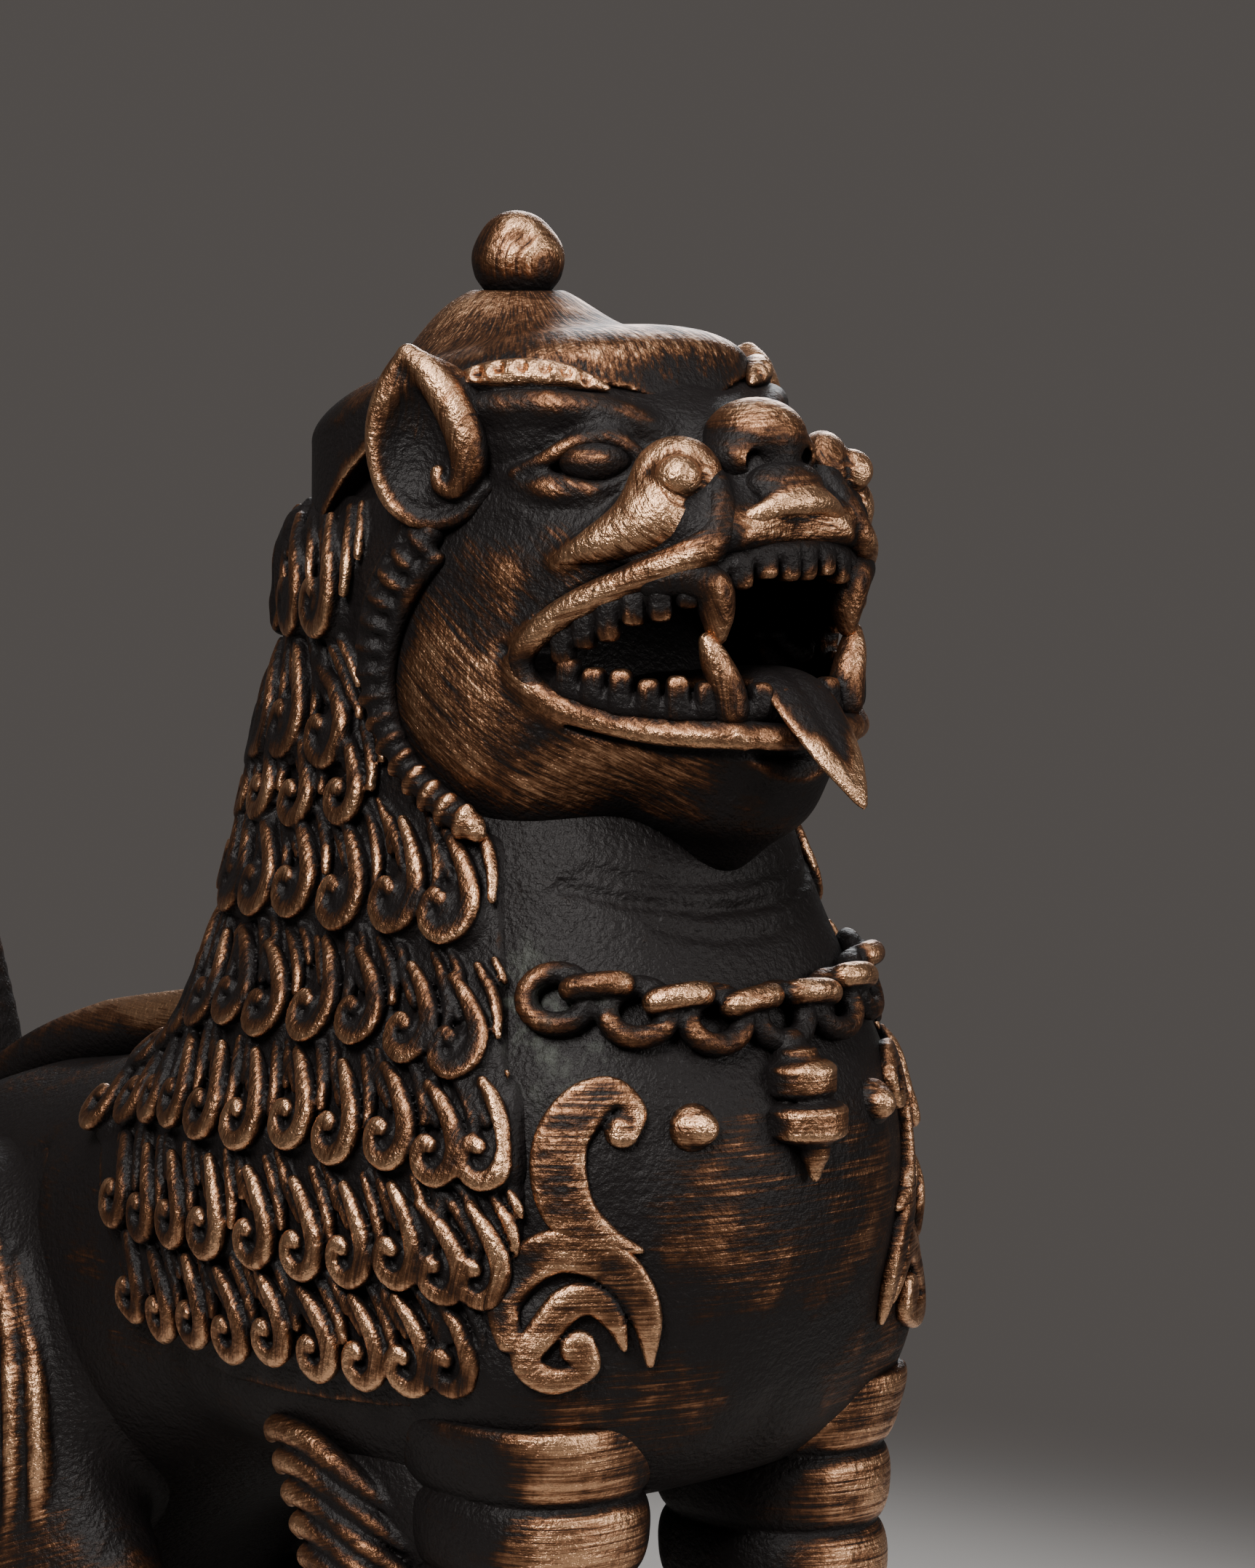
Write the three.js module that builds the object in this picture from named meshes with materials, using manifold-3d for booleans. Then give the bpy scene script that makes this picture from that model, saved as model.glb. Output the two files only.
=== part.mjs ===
// A seated foo dog: a hollow-cast copper temple lion, built up from separately cast and applied pieces.
// Millimetres, +Z up. The lion faces -Y, so a place is written (x, forward, z) with forward = -y.
// x < 0 is the lion's own right side, and forward is measured from the neck's upright axis.
// The origin is on the ground, under the middle of the whole lion, behind that axis.
import * as THREE from "three";
import { mergeVertices } from "three/addons/utils/BufferGeometryUtils.js";
import Module from "manifold-3d";

const wasm = await Module();
wasm.setup();

// ---- Driving dimensions ----
const HEIGHT = 200; // to the top of the finial
const NECK_AXIS_Y = -36.25; // places the origin midway between the tongue's tip and the tail
const WALL = 2.6; // thickness of the hollow castings
const GAP = 0.3; // between neighbouring pieces
const MANE_THICK = 4.2; // mane skin outside the neck
const TIERS = 7; // rows of curls in the mane
const CHAIN_LINKS = 13;
const LEG_GROOVES = [62, 52.5, 43, 33.5, 24]; // heights of the grooves between the foreleg's rolls
const FAR = 400; // larger than the statue
const CLEAN = 0.01; // slivers thinner than this are merged away

// ---- Body profiles: smooth curves through a few stations ----
// Neck and chest: [height, half width, front, back]
const COLUMN = [
  [48, 20, 24, 28],
  [52.5, 30, 37, 33],
  [62, 35, 45, 36],
  [74, 37, 48.5, 38],
  [86, 37.5, 49.5, 38],
  [98, 35.5, 48.5, 38],
  [108, 31.5, 45, 37],
  [118, 28, 40.5, 35],
  [128, 25.5, 36, 33],
  [140, 23.5, 28, 31],
  [150, 22, 22, 28],
  [159, 19.5, 16, 25],
  [165, 17.5, 12, 24],
];
const COLUMN_POWER = 2.5;
// Barrel and rump: [forward, half width, top, bottom]
const BARREL = [
  [-124, 12, 58, 6],
  [-119, 23, 70, 1],
  [-108, 31, 81, 0],
  [-92, 34, 87, 0],
  [-76, 34, 90, 10],
  [-58, 34, 95, 27],
  [-38, 35, 102, 38],
  [-18, 35, 106, 45],
  [4, 33, 106, 51],
  [22, 26, 100, 57],
];
const BARREL_POWER = 2.3;
// Skull, cheeks and muzzle: [forward, half width, top, bottom]
const HEAD = [
  [-24, 15, 168, 142],
  [-16, 20, 172.5, 133],
  [-4, 23.5, 176.5, 127],
  [10, 25.2, 179, 125],
  [22, 24, 179.4, 125.5],
  [31, 21.5, 177, 127.5],
  [38, 18.5, 171.5, 129.5],
  [44, 15.5, 168, 132],
  [49, 11, 165.5, 135],
];
const HEAD_POWER = 2.35;

// ---- Small helpers ----
const at = (x, forward, z) => new THREE.Vector3(x, NECK_AXIS_Y - forward, z);
const ACROSS = new THREE.Vector3(1, 0, 0);
const FORWARD = new THREE.Vector3(0, -1, 0);
const UP = new THREE.Vector3(0, 0, 1);

// Values between stations [place, ...values], on a smooth curve through them.
function between(stations, place) {
  const last = stations.length - 1;
  let i = 0;
  while (i < last - 1 && place > stations[i + 1][0]) i++;
  const slope = (k, v) => {
    const low = stations[Math.max(0, k - 1)];
    const high = stations[Math.min(last, k + 1)];
    return (high[v] - low[v]) / (high[0] - low[0]);
  };
  const [from, to] = [stations[i], stations[i + 1]];
  const span = to[0] - from[0];
  const t = (place - from[0]) / span;
  return from.slice(1).map((value, k) => {
    const v = k + 1;
    const ease = t * t * (3 - 2 * t);
    const start = t * (1 - t) * (1 - t) * span * slope(i, v);
    const end = t * t * (1 - t) * span * slope(i + 1, v);
    return value + (to[v] - value) * ease + start - end;
  });
}

const spread = (count, low, high) =>
  Array.from({ length: count }, (_, i) => low + ((high - low) * i) / (count - 1));

// A ring of a superellipse about a centre: half width along u, and a reach towards +v and -v.
function ring(centre, u, v, half, plus, minus, power, sides) {
  const bend = (c) => Math.sign(c) * Math.abs(c) ** (2 / power);
  return Array.from({ length: sides }, (_, i) => {
    const angle = (2 * Math.PI * i) / sides;
    const side = bend(Math.sin(angle));
    return centre
      .clone()
      .addScaledVector(u, half * bend(Math.cos(angle)))
      .addScaledVector(v, side * (side > 0 ? plus : minus));
  });
}

// A closed skin over rings of equal count, capped at both ends.
function skin(rings) {
  const sides = rings[0].length;
  const middle = (points) =>
    points.reduce((sum, p) => sum.add(p), new THREE.Vector3()).divideScalar(sides);
  const points = [...rings.flat(), middle(rings[0]), middle(rings.at(-1))];
  const [first, last] = [points.length - 2, points.length - 1];
  const index = [];
  for (let r = 0; r < rings.length - 1; r++)
    for (let s = 0; s < sides; s++) {
      const a = r * sides + s;
      const b = r * sides + ((s + 1) % sides);
      index.push(a, b, b + sides, a, b + sides, a + sides);
    }
  const top = (rings.length - 1) * sides;
  for (let s = 0; s < sides; s++) {
    const next = (s + 1) % sides;
    index.push(first, next, s, last, top + s, top + next);
  }
  return solidOf(new THREE.BufferGeometry().setFromPoints(points).setIndex(index));
}

// A three.js geometry as a manifold solid, its faces turned outwards.
function solidOf(geometry) {
  const bare = new THREE.BufferGeometry();
  bare.setAttribute("position", geometry.getAttribute("position"));
  bare.setIndex(geometry.index);
  const merged = mergeVertices(bare, 1e-4);
  const build = (triVerts) =>
    new wasm.Manifold(
      new wasm.Mesh({ numProp: 3, vertProperties: merged.attributes.position.array, triVerts }),
    );
  const solid = build(new Uint32Array(merged.index.array));
  return solid.volume() > 0 ? solid : build(new Uint32Array(merged.index.array).reverse());
}

function geometryOf(solid) {
  const mesh = solid.getMesh();
  const geometry = new THREE.BufferGeometry();
  geometry.setAttribute("position", new THREE.BufferAttribute(mesh.vertProperties, 3));
  geometry.setIndex(new THREE.BufferAttribute(mesh.triVerts, 1));
  geometry.computeVertexNormals();
  return geometry;
}

const union = (...solids) => solids.reduce((all, s) => all.add(s));
const placed = (geometry, matrix) => solidOf(geometry.clone().applyMatrix4(matrix));

// The same solid on the lion's left side.
const mirrored = (solid) => placed(geometryOf(solid), new THREE.Matrix4().makeScale(-1, 1, 1));

// An ellipsoid with half sizes (x, forward, z), turned about the vertical and then tipped about x.
function ellipsoid(centre, half, turn = 0, tip = 0, sides = 14) {
  const matrix = new THREE.Matrix4().compose(
    centre,
    new THREE.Quaternion().setFromEuler(new THREE.Euler(tip, 0, turn, "ZXY")),
    new THREE.Vector3(...half),
  );
  return placed(new THREE.SphereGeometry(1, sides, Math.ceil(sides / 2)), matrix);
}

// Stands a shape drawn in (forward, z) upright at x, to be pushed out along x.
const sideways = (x) => new THREE.Matrix4().makeBasis(FORWARD, UP, ACROSS).setPosition(at(x, 0, 0));

function box(centre, size) {
  return placed(new THREE.BoxGeometry(...size), new THREE.Matrix4().setPosition(centre));
}

// A round bar along a smooth curve through the points. radius(t) is its radius from t = 0 to 1.
function bar(points, radius, { steps = 12, sides = 6, grow = 0, flat = 1 } = {}) {
  const curve = new THREE.CatmullRomCurve3(points, false, "centripetal");
  const frames = curve.computeFrenetFrames(steps, false);
  const rings = spread(steps + 1, 0, 1).map((t, i) => {
    const r = Math.max(0.25, radius(t)) + grow;
    const [n, b] = [frames.normals[i], frames.binormals[i]];
    return ring(curve.getPointAt(t), n, b, r, r * flat, r * flat, 2, sides);
  });
  return skin(rings);
}

const taper = (big, small) => (t) => big + (small - big) * t;
const swell = (ends, middle) => (t) => ends + (middle - ends) * Math.sin(Math.PI * t);

// ---- Lofted bodies: grow moves the whole surface out, or in when negative ----
function column(grow, lift = () => 0, heights = spread(15, 48, 159), sides = 22) {
  return skin(
    heights.map((z, i) => {
      const [half, front, back] = between(COLUMN, z);
      const g = grow + lift(z);
      const end = i === 0 ? -grow : i === heights.length - 1 ? grow : 0;
      const centre = at(0, 0, z + end);
      return ring(centre, ACROSS, FORWARD, half + g, front + g, back + g, COLUMN_POWER, sides);
    }),
  );
}

function lengthwise(stations, power, grow, count, sides) {
  const places = spread(count, stations[0][0], stations.at(-1)[0]);
  return skin(
    places.map((forward, i) => {
      const [half, top, bottom] = between(stations, forward);
      const end = i === 0 ? -grow : i === count - 1 ? grow : 0;
      const centre = at(0, forward + end, (top + bottom) / 2);
      const high = (top - bottom) / 2 + grow;
      return ring(centre, ACROSS, UP, half + grow, high, high, power, sides);
    }),
  );
}

const ground = box(at(0, 0, -FAR / 2), [FAR, FAR, FAR]);
const onGround = (solid) => solid.subtract(ground);
const torsoBlock = (grow) =>
  onGround(union(column(grow), lengthwise(BARREL, BARREL_POWER, grow, 13, 18)));
const headBlock = (grow) => lengthwise(HEAD, HEAD_POWER, grow, 11, 18);

// The point on the front of the neck and chest at (x, z), lifted off the surface.
function onChest(x, z, lift = 0) {
  const [half, front] = between(COLUMN, z);
  const share = Math.min(0.97, Math.abs(x) / half);
  const forward = front * (1 - share ** COLUMN_POWER) ** (1 / COLUMN_POWER);
  const normal = new THREE.Vector3(
    (Math.sign(x) * share ** (COLUMN_POWER - 1)) / half,
    -((forward / front) ** (COLUMN_POWER - 1)) / front,
    0,
  ).normalize();
  return at(x, forward, z).addScaledVector(normal, lift);
}

// ---- The part ----
const statue = new THREE.Group();
statue.name = "foo_dog_statue";
const copper = (color, roughness) =>
  new THREE.MeshStandardMaterial({ color, roughness, metalness: 1, flatShading: true });
const dark = copper(0x2a2320, 0.55); // oiled black-brown patina
const brushed = copper(0x7a4a30, 0.45); // patina rubbed back to copper
const bright = copper(0xc98a5c, 0.3); // polished copper
const pieces = [];

// Adds one piece, cut back to clear every earlier piece that it could touch.
// make(grow) gives its solid; finish(solid) opens hollows in it, which no neighbour may fill.
function add(name, material, make, { finish = (s) => s, ignore = [] } = {}) {
  let solid = finish(make(0));
  const reach = solid.boundingBox();
  for (const piece of pieces) {
    const other = piece.block.boundingBox();
    const apart = [0, 1, 2].some(
      (k) => other.min[k] > reach.max[k] || other.max[k] < reach.min[k],
    );
    if (!apart && !ignore.includes(piece.name)) solid = solid.subtract(piece.block);
  }
  const bodies = solid.decompose().sort((a, b) => b.volume() - a.volume());
  const mesh = new THREE.Mesh(geometryOf(bodies[0].simplify(CLEAN)), material);
  mesh.name = name;
  statue.add(mesh);
  pieces.push({ name, block: make(GAP) });
}

// A pair: the right piece as made, and the left one mirrored.
function addPair(name, material, make, options = {}) {
  add(`${name}_right`, material, make, options);
  const { finish = (s) => s } = options;
  const left = { ...options, finish: (s) => mirrored(finish(mirrored(s))) };
  add(`${name}_left`, material, (grow) => mirrored(make(grow)), left);
}

// Head: a hollow casting. The mouth is a wedge cut right across, open into the hollow.
function mouthWedge(grow) {
  const outline = new THREE.Shape();
  outline.moveTo(26 - grow, 150.5);
  outline.quadraticCurveTo(34, 158 + grow, 60, 163.5 + grow);
  outline.lineTo(60, 140.5 - grow);
  outline.quadraticCurveTo(34, 142 - grow, 26 - grow, 149);
  const wedge = new THREE.ExtrudeGeometry(outline, {
    depth: 80,
    bevelEnabled: false,
    curveSegments: 5,
  });
  return placed(wedge, sideways(-40));
}
const openHead = (solid) => solid.subtract(headBlock(-WALL)).subtract(mouthWedge(0));
add("head_casting", brushed, headBlock, { finish: openHead });
// Pieces inside the mouth clear the head's walls only, not its hollow.
const headWalls = headBlock(GAP)
  .subtract(headBlock(-WALL - GAP))
  .subtract(mouthWedge(-GAP));
const inMouth = { ignore: ["head_casting"], finish: (s) => s.subtract(headWalls) };

// Teeth: a gum bar under the lip with pointed teeth standing from it.
const UPPER_GUM = [at(-18.5, 31.5, 153.4), at(-16, 39, 157), at(-10.6, 44.6, 159.2), at(0, 46.6, 160)];
const LOWER_GUM = [at(-18.4, 33, 145.2), at(-16, 39.6, 143.6), at(-10.6, 45.2, 142.6), at(0, 47.6, 142.2)];
const bothSides = (points) => [
  ...points,
  ...points.slice(0, -1).reverse().map((p) => new THREE.Vector3(-p.x, p.y, p.z)),
];
function teeth(gum, length, count) {
  const points = bothSides(gum);
  const curve = new THREE.CatmullRomCurve3(points, false, "centripetal");
  return (grow) => {
    const row = spread(count, 0.03, 0.97).map((t) => {
      const root = curve.getPointAt(t);
      const tip = root.clone().addScaledVector(UP, length);
      return bar([root, tip], taper(1.25, 0.7), { steps: 1, sides: 4, grow });
    });
    return union(bar(points, () => 1.1, { steps: 14, sides: 4, grow }), ...row);
  };
}
add("upper_teeth", dark, teeth(UPPER_GUM, -2.9, 17), inMouth);
add("lower_teeth", dark, teeth(LOWER_GUM, 2.6, 15), inMouth);
const upperFang = [at(-13.2, 46.6, 160.5), at(-12.4, 48.6, 156.5), at(-11.6, 48.9, 152.2)];
const lowerFang = [at(-13.2, 48.6, 142.6), at(-12.8, 49.4, 146.8), at(-11.9, 48, 151.4)];
addPair("upper_fang", bright, (grow) => bar(upperFang, taper(2.1, 0.8), { steps: 4, grow }), inMouth);
addPair("lower_fang", bright, (grow) => bar(lowerFang, taper(2, 0.8), { steps: 4, grow }), inMouth);

// Tongue: a flat blade that hangs over the lower lip to a point.
const TONGUE = [
  [10, 6.5, 1.6, 142.5],
  [30, 6, 1.8, 144.5],
  [46, 5.2, 1.9, 145.6],
  [51, 4.9, 1.9, 142.8],
  [56, 3.7, 1.7, 137.8],
  [60.4, 0.8, 0.8, 133],
];
function tongue(grow) {
  return skin(
    [10, 20, 30, 38, 44, 48, 51, 54, 57, 60.4].map((forward) => {
      const [half, thick, z] = between(TONGUE, forward);
      const centre = at(0, forward + (forward > 60 ? grow : 0), z);
      return ring(centre, ACROSS, UP, half + grow, thick + grow, thick + grow, 1.8, 8);
    }),
  );
}
add("tongue", bright, tongue, inMouth);

// Lips: one bead a side, from the whisker curl back round the mouth's corner to the chin.
const LIP = [
  at(-11.5, 46.5, 167.4),
  at(-13.6, 46.8, 163),
  at(-16.4, 42.6, 160),
  at(-19.8, 36.4, 157.2),
  at(-22.2, 31, 154.6),
  at(-23.4, 26.2, 150.4),
  at(-22.4, 30, 145.4),
  at(-19, 38, 142),
  at(-14.6, 45.4, 140.2),
  at(-8, 49.6, 139.4),
  at(-0.6, 51, 139.2),
];
addPair("lip", brushed, (grow) => bar(LIP, () => 1.5, { steps: 24, grow }));
const FRONT_LIP = [at(-9, 46.8, 163), at(-4, 49.6, 165), at(4, 49.6, 165), at(9, 46.8, 163)];
add("front_lip", brushed, (grow) => bar(FRONT_LIP, swell(1.2, 2.4), { steps: 8, grow }));

// Muzzle furniture.
add("nose", bright, (grow) => {
  const half = (...sizes) => sizes.map((size) => size + grow);
  return union(
    ellipsoid(at(0, 42.6, 173.4), half(6.6, 5.8, 4.6)),
    ellipsoid(at(0, 36, 174.4), half(4.2, 7, 4.2)),
    ellipsoid(at(0, 46.4, 168.6), half(5, 3.4, 4)),
  );
});
const WHISKER_TURN = THREE.MathUtils.degToRad(-45);
addPair("whisker_curl", bright, (grow) =>
  ellipsoid(at(-12.6, 42.4, 169.4), [5.4 + grow, 4.4 + grow, 5.2 + grow], WHISKER_TURN),
);
const EYE_TURN = THREE.MathUtils.degToRad(-38);
addPair("eye", dark, (grow) =>
  ellipsoid(at(-15.6, 31.4, 171.2), [4.6 + grow, 2.6 + grow, 2.5 + grow], EYE_TURN, 0, 12),
);
const BROW = [at(-23, 15, 175.4), at(-20.4, 22.4, 177.2), at(-15.6, 29.4, 177.8), at(-9, 34, 176)];
addPair("brow", brushed, (grow) => bar(BROW, swell(1.6, 2.8), { steps: 8, grow }));

// Ears: pointed cups set into the sides of the skull, facing forwards and out.
const EAR_TURN = THREE.MathUtils.degToRad(-62);
addPair(
  "ear",
  bright,
  (grow) =>
    union(
      ellipsoid(at(-24.6, 13.6, 172.6), [8.6 + grow, 4 + grow, 8.8 + grow], EAR_TURN),
      ellipsoid(at(-24.4, 10.4, 177.4), [4.6 + grow, 3 + grow, 6.2 + grow], EAR_TURN),
    ),
  {
    finish: (s) =>
      s.subtract(ellipsoid(at(-28.4, 15.8, 172.4), [6.2, 4, 6.6], EAR_TURN)),
  },
);

// Cap: a smooth tilted dome over the skull, flaring up to the finial's seat.
const CAP_TILT = THREE.MathUtils.degToRad(14);
function dome(grow, high) {
  const u = FORWARD.clone().applyAxisAngle(ACROSS, -CAP_TILT);
  const w = UP.clone().applyAxisAngle(ACROSS, -CAP_TILT);
  const base = at(0, 4, 172.6);
  return skin(
    [-0.06, 0, 0.16, 0.34, 0.52, 0.7, 0.88, 0.985].map((h) => {
      const size = Math.sqrt(Math.max(0, 1 - h * h));
      const centre = base.clone().addScaledVector(w, h * (high + grow));
      const [half, reach] = [(24.6 + grow) * size, (32 + grow) * size];
      return ring(centre, ACROSS, u, half, reach, reach, 2.5, 20);
    }),
  );
}
// A profile [radius, height] turned about the upright line through a place.
function turned(profile, grow, place) {
  const points = profile.map(([r, z]) => new THREE.Vector2(r ? r + grow : 0, z));
  const lathe = new THREE.LatheGeometry(points, 12);
  return placed(lathe, new THREE.Matrix4().makeRotationX(Math.PI / 2).setPosition(place));
}
const FLARE = [
  [0, 179],
  [17, 179],
  [17, 181.6],
  [11, 183],
  [7.4, 184.8],
  [5.2, 187.4],
  [4.5, 190],
  [0, 190],
];
const onTop = at(0, 0, 0);
add("skull_cap", dark, (grow) => union(dome(grow, 10), turned(FLARE, grow, onTop)));
const KNOB = [
  [0, 190 + GAP],
  [4.4, 190 + GAP],
  [5.2, 193],
  [5.5, 195],
  [4.6, 197.4],
  [2.6, 199.3],
  [0, HEIGHT],
];
add("cap_finial", bright, (grow) => turned(KNOB, grow, onTop), { ignore: ["skull_cap"] });

// Collar: a ribbed roll round the cheek, from under the ear to the throat.
const COLLAR = [
  at(-24.6, 13.4, 161.4),
  at(-26.6, 9, 156),
  at(-27.2, 7, 149),
  at(-27, 9, 141),
  at(-26.2, 14.5, 134),
  at(-24.6, 21, 129.4),
  at(-21.6, 28, 127.2),
];
addPair("mane_collar", dark, (grow) => {
  const ribs = (t) => 2.5 + 0.45 * Math.cos(t * 2 * Math.PI * 12);
  return bar(COLLAR, ribs, { steps: 24, grow });
});

// Torso: hollow neck, chest, barrel and rump, open underneath where the base plate closes it.
const PLATE = { forward: -97, across: 20, along: 17, thick: 2.4 };
function plateDisc(thick, grow) {
  const disc = new THREE.CylinderGeometry(1, 1, 1, 24);
  const matrix = new THREE.Matrix4().compose(
    at(0, PLATE.forward, thick / 2),
    new THREE.Quaternion().setFromEuler(new THREE.Euler(Math.PI / 2, 0, 0)),
    new THREE.Vector3(PLATE.across + grow, thick, PLATE.along + grow),
  );
  return placed(disc, matrix);
}
add("base_plate", brushed, (grow) => plateDisc(PLATE.thick, grow).add(
  // The grown block reaches below the ground, so that the torso's opening cuts right through.
  grow > 0 ? plateDisc(0.2, grow).translate([0, 0, -0.1]) : plateDisc(PLATE.thick, grow),
));
add("torso_casting", dark, torsoBlock, {
  finish: (s) =>
    s
      .subtract(onGround(torsoBlock(-WALL)))
      .subtract(plateDisc(8, GAP).translate([0, 0, -1])),
});

// Four toes across the front of a paw centred on (x, forward).
function toes(x, forward, across, grow) {
  const row = spread(4, -across, across).map((side, i) => {
    const set = i % 3 === 0 ? -1.6 : 0;
    const half = [across / 2.6 + grow, 6.4 + grow, 5 + grow];
    return ellipsoid(at(x + side, forward + set, 4.4), half, 0, 0, 8);
  });
  return union(...row);
}

// Legs, with the rolls of the foreleg between their grooves.
const FORELEG = [
  [0, -20, 31, 12, 17.5, 14],
  [7, -20, 31, 12.4, 18.5, 14],
  [14, -20, 28.5, 11.8, 15.5, 14],
  [21, -19.8, 25.5, 10.8, 13.6, 13.4],
  [40, -19.4, 24.3, 11, 14, 13.6],
  [56, -19.6, 24.6, 12, 15, 15],
  [68, -21.5, 25.5, 14, 16.5, 17],
  [80, -22, 24, 12, 15, 17],
];
function foreleg(grow, sides = 14) {
  const grooves = LEG_GROOVES.flatMap((z) => [z - 4.2, z - 0.9, z, z + 0.9]);
  const heights = [0, 4, 9, 14, 18, ...grooves.filter((z) => z > 20), 66, 73, 80];
  heights.sort((a, b) => a - b);
  const leg = skin(
    heights.map((z, i) => {
      const [x, forward, half, front, back] = between(FORELEG, z);
      const g = grow - (grow >= 0 && LEG_GROOVES.includes(z) ? 1.2 : 0);
      const centre = at(x, forward, i === 0 ? z - grow : z);
      return ring(centre, ACROSS, FORWARD, half + g, front + g, back + g, 2.2, sides);
    }),
  );
  return onGround(grow < 0 ? leg : union(leg, toes(-20, 44, 8.6, grow)));
}
// The cast-in core hole of a leg stops above the paw and opens into the shoulder.
const LEG_CORE_FLOOR = 12;
addPair("foreleg", brushed, foreleg, {
  finish: (s) =>
    s.subtract(
      foreleg(-WALL - 0.6, 10).subtract(
        box(at(0, 0, LEG_CORE_FLOOR - FAR / 2), [FAR, FAR, FAR]),
      ),
    ),
});

// Elbow tuft: a leaf of fur that sweeps back and up from behind the foreleg.
function leaf(points, thick, x) {
  const outline = new THREE.Shape();
  outline.moveTo(...points[0]);
  outline.splineThru(points.slice(1).map((p) => new THREE.Vector2(...p)));
  const solid = new THREE.ExtrudeGeometry(outline, {
    depth: thick - 1.2,
    bevelEnabled: true,
    bevelThickness: 0.6,
    bevelSize: 0.6,
    bevelSegments: 1,
    curveSegments: 3,
  });
  return placed(solid, sideways(x));
}
const TUFT = [
  [14, 56],
  [0, 56],
  [-12.6, 53.4],
  [-12, 48],
  [-8, 40],
  [-3, 30],
  [4, 20],
  [12, 15],
  [20, 18],
  [20, 54],
];
addPair("elbow_tuft", bright, (grow) => {
  const grown = TUFT.map(([f, z]) => [f + Math.sign(f - 8) * grow, z + Math.sign(z - 36) * grow]);
  return leaf(grown, 6 + 2 * grow, -31 - grow);
});

// Hind legs: a broad folded thigh, and a foot laid forward along the ground.
const FOOT = [
  [-84, 7, 9],
  [-70, 8.4, 13],
  [-52, 8.6, 14],
  [-38, 10.4, 14.6],
  [-31, 10.2, 12],
  [-26, 7.6, 8],
];
function hindLeg(grow) {
  const foot = skin(
    spread(9, -84, -26).map((forward, i) => {
      const [half, high] = between(FOOT, forward);
      const end = i === 8 ? grow : 0;
      const centre = at(-34, forward + end, 3);
      return ring(centre, ACROSS, UP, half + grow, high - 3 + grow, 4 + grow, 2.6, 12);
    }),
  );
  const thigh = ellipsoid(at(-31, -84, 40), [13.5 + grow, 37 + grow, 38 + grow], 0, 0, 22);
  return onGround(union(thigh, foot, toes(-34, -28, 7.8, grow)));
}
const thighCore = ellipsoid(at(-31, -84, 40), [13.5 - WALL, 37 - WALL, 38 - WALL], 0, 0, 18);
addPair("hind_leg", brushed, hindLeg, {
  finish: (s) => s.subtract(thighCore.subtract(box(at(0, 0, 8 - FAR / 2), [FAR, FAR, FAR]))),
});

// Spine ridge and tail.
const SPINE = [at(0, -52, 99), at(0, -66, 95.4), at(0, -84, 91), at(0, -100, 87), at(0, -112, 81.5)];
add("spine_ridge", brushed, (grow) => bar(SPINE, taper(2.6, 4.6), { steps: 10, grow }));
const TAIL = [at(0, -121, 28), at(0, -127, 46), at(0, -123.5, 66), at(0, -124, 84), at(0, -127, 100), at(0, -121, 117)];
add("tail", brushed, (grow) => {
  const stem = bar(TAIL, (t) => 4.6 + 4.4 * Math.sin(Math.PI * Math.min(1, t) ** 1.6) - 3 * t, {
    steps: 16,
    sides: 8,
    grow,
  });
  return stem;
});

// Chest ornaments, in relief on the chest.
const SWIRL = { x: -24.6, z: 74.2, turns: 0.84, inner: 5.2, outer: 9.4, lift: 0.5 };
function spiral({ x, z, turns, inner, outer, lift }, steps) {
  return spread(steps, 0, 1).map((t) => {
    const angle = Math.PI * (-0.5 + 2 * turns * t);
    const r = inner + (outer - inner) * t;
    return onChest(x - 0.95 * r * Math.cos(angle), z + r * Math.sin(angle), lift);
  });
}
addPair("shoulder_swirl", bright, (grow) =>
  union(
    bar(spiral(SWIRL, 12), swell(1.5, 2.7), { steps: 20, grow }),
    ellipsoid(onChest(-26.4, 71.6, 0.6), [2.9 + grow, 2.9 + grow, 2.9 + grow], 0, 0, 10),
  ),
);
const SCROLL = [
  [-21.4, 95.2],
  [-22.6, 96.6],
  [-21, 98],
  [-19.2, 96.2],
  [-20.4, 93.8],
  [-23.6, 94.2],
  [-25, 97],
  [-22.6, 100.2],
];
const SCROLL_BODY = [
  [-22.6, 100.2],
  [-26, 98.8],
  [-27, 94],
  [-26, 89.4],
  [-22.6, 85.6],
  [-17, 82],
];
addPair("chest_scroll", bright, (grow) => {
  const lay = (points) => points.map(([x, z]) => onChest(x, z, 0.4));
  return union(
    bar(lay(SCROLL), taper(1.6, 1.4), { steps: 12, sides: 5, grow }),
    bar(lay(SCROLL_BODY), (t) => 1.4 + 1.9 * Math.sin(Math.PI * t) ** 1.2, { steps: 10, grow }),
  );
});
addPair("chest_stud", bright, (grow) =>
  ellipsoid(onChest(-13.7, 96, 0.6), [2.1 + grow, 2.1 + grow, 2.1 + grow], 0, 0, 10),
);

// Bell pendant: cap, waisted body and clapper, half sunk in the chest.
const BELL = [
  [0, 91.8],
  [0.9, 92.2],
  [1.4, 94.2],
  [1, 95.6],
  [4.2, 96],
  [4.5, 97.6],
  [3.7, 98.8],
  [3.8, 101.2],
  [2.6, 102],
  [2.8, 103.6],
  [1.2, 104.6],
  [0, 104.8],
];
add("bell_pendant", bright, (grow) => turned(BELL, grow, onChest(0, 98, 0.6).setZ(0)));

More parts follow.
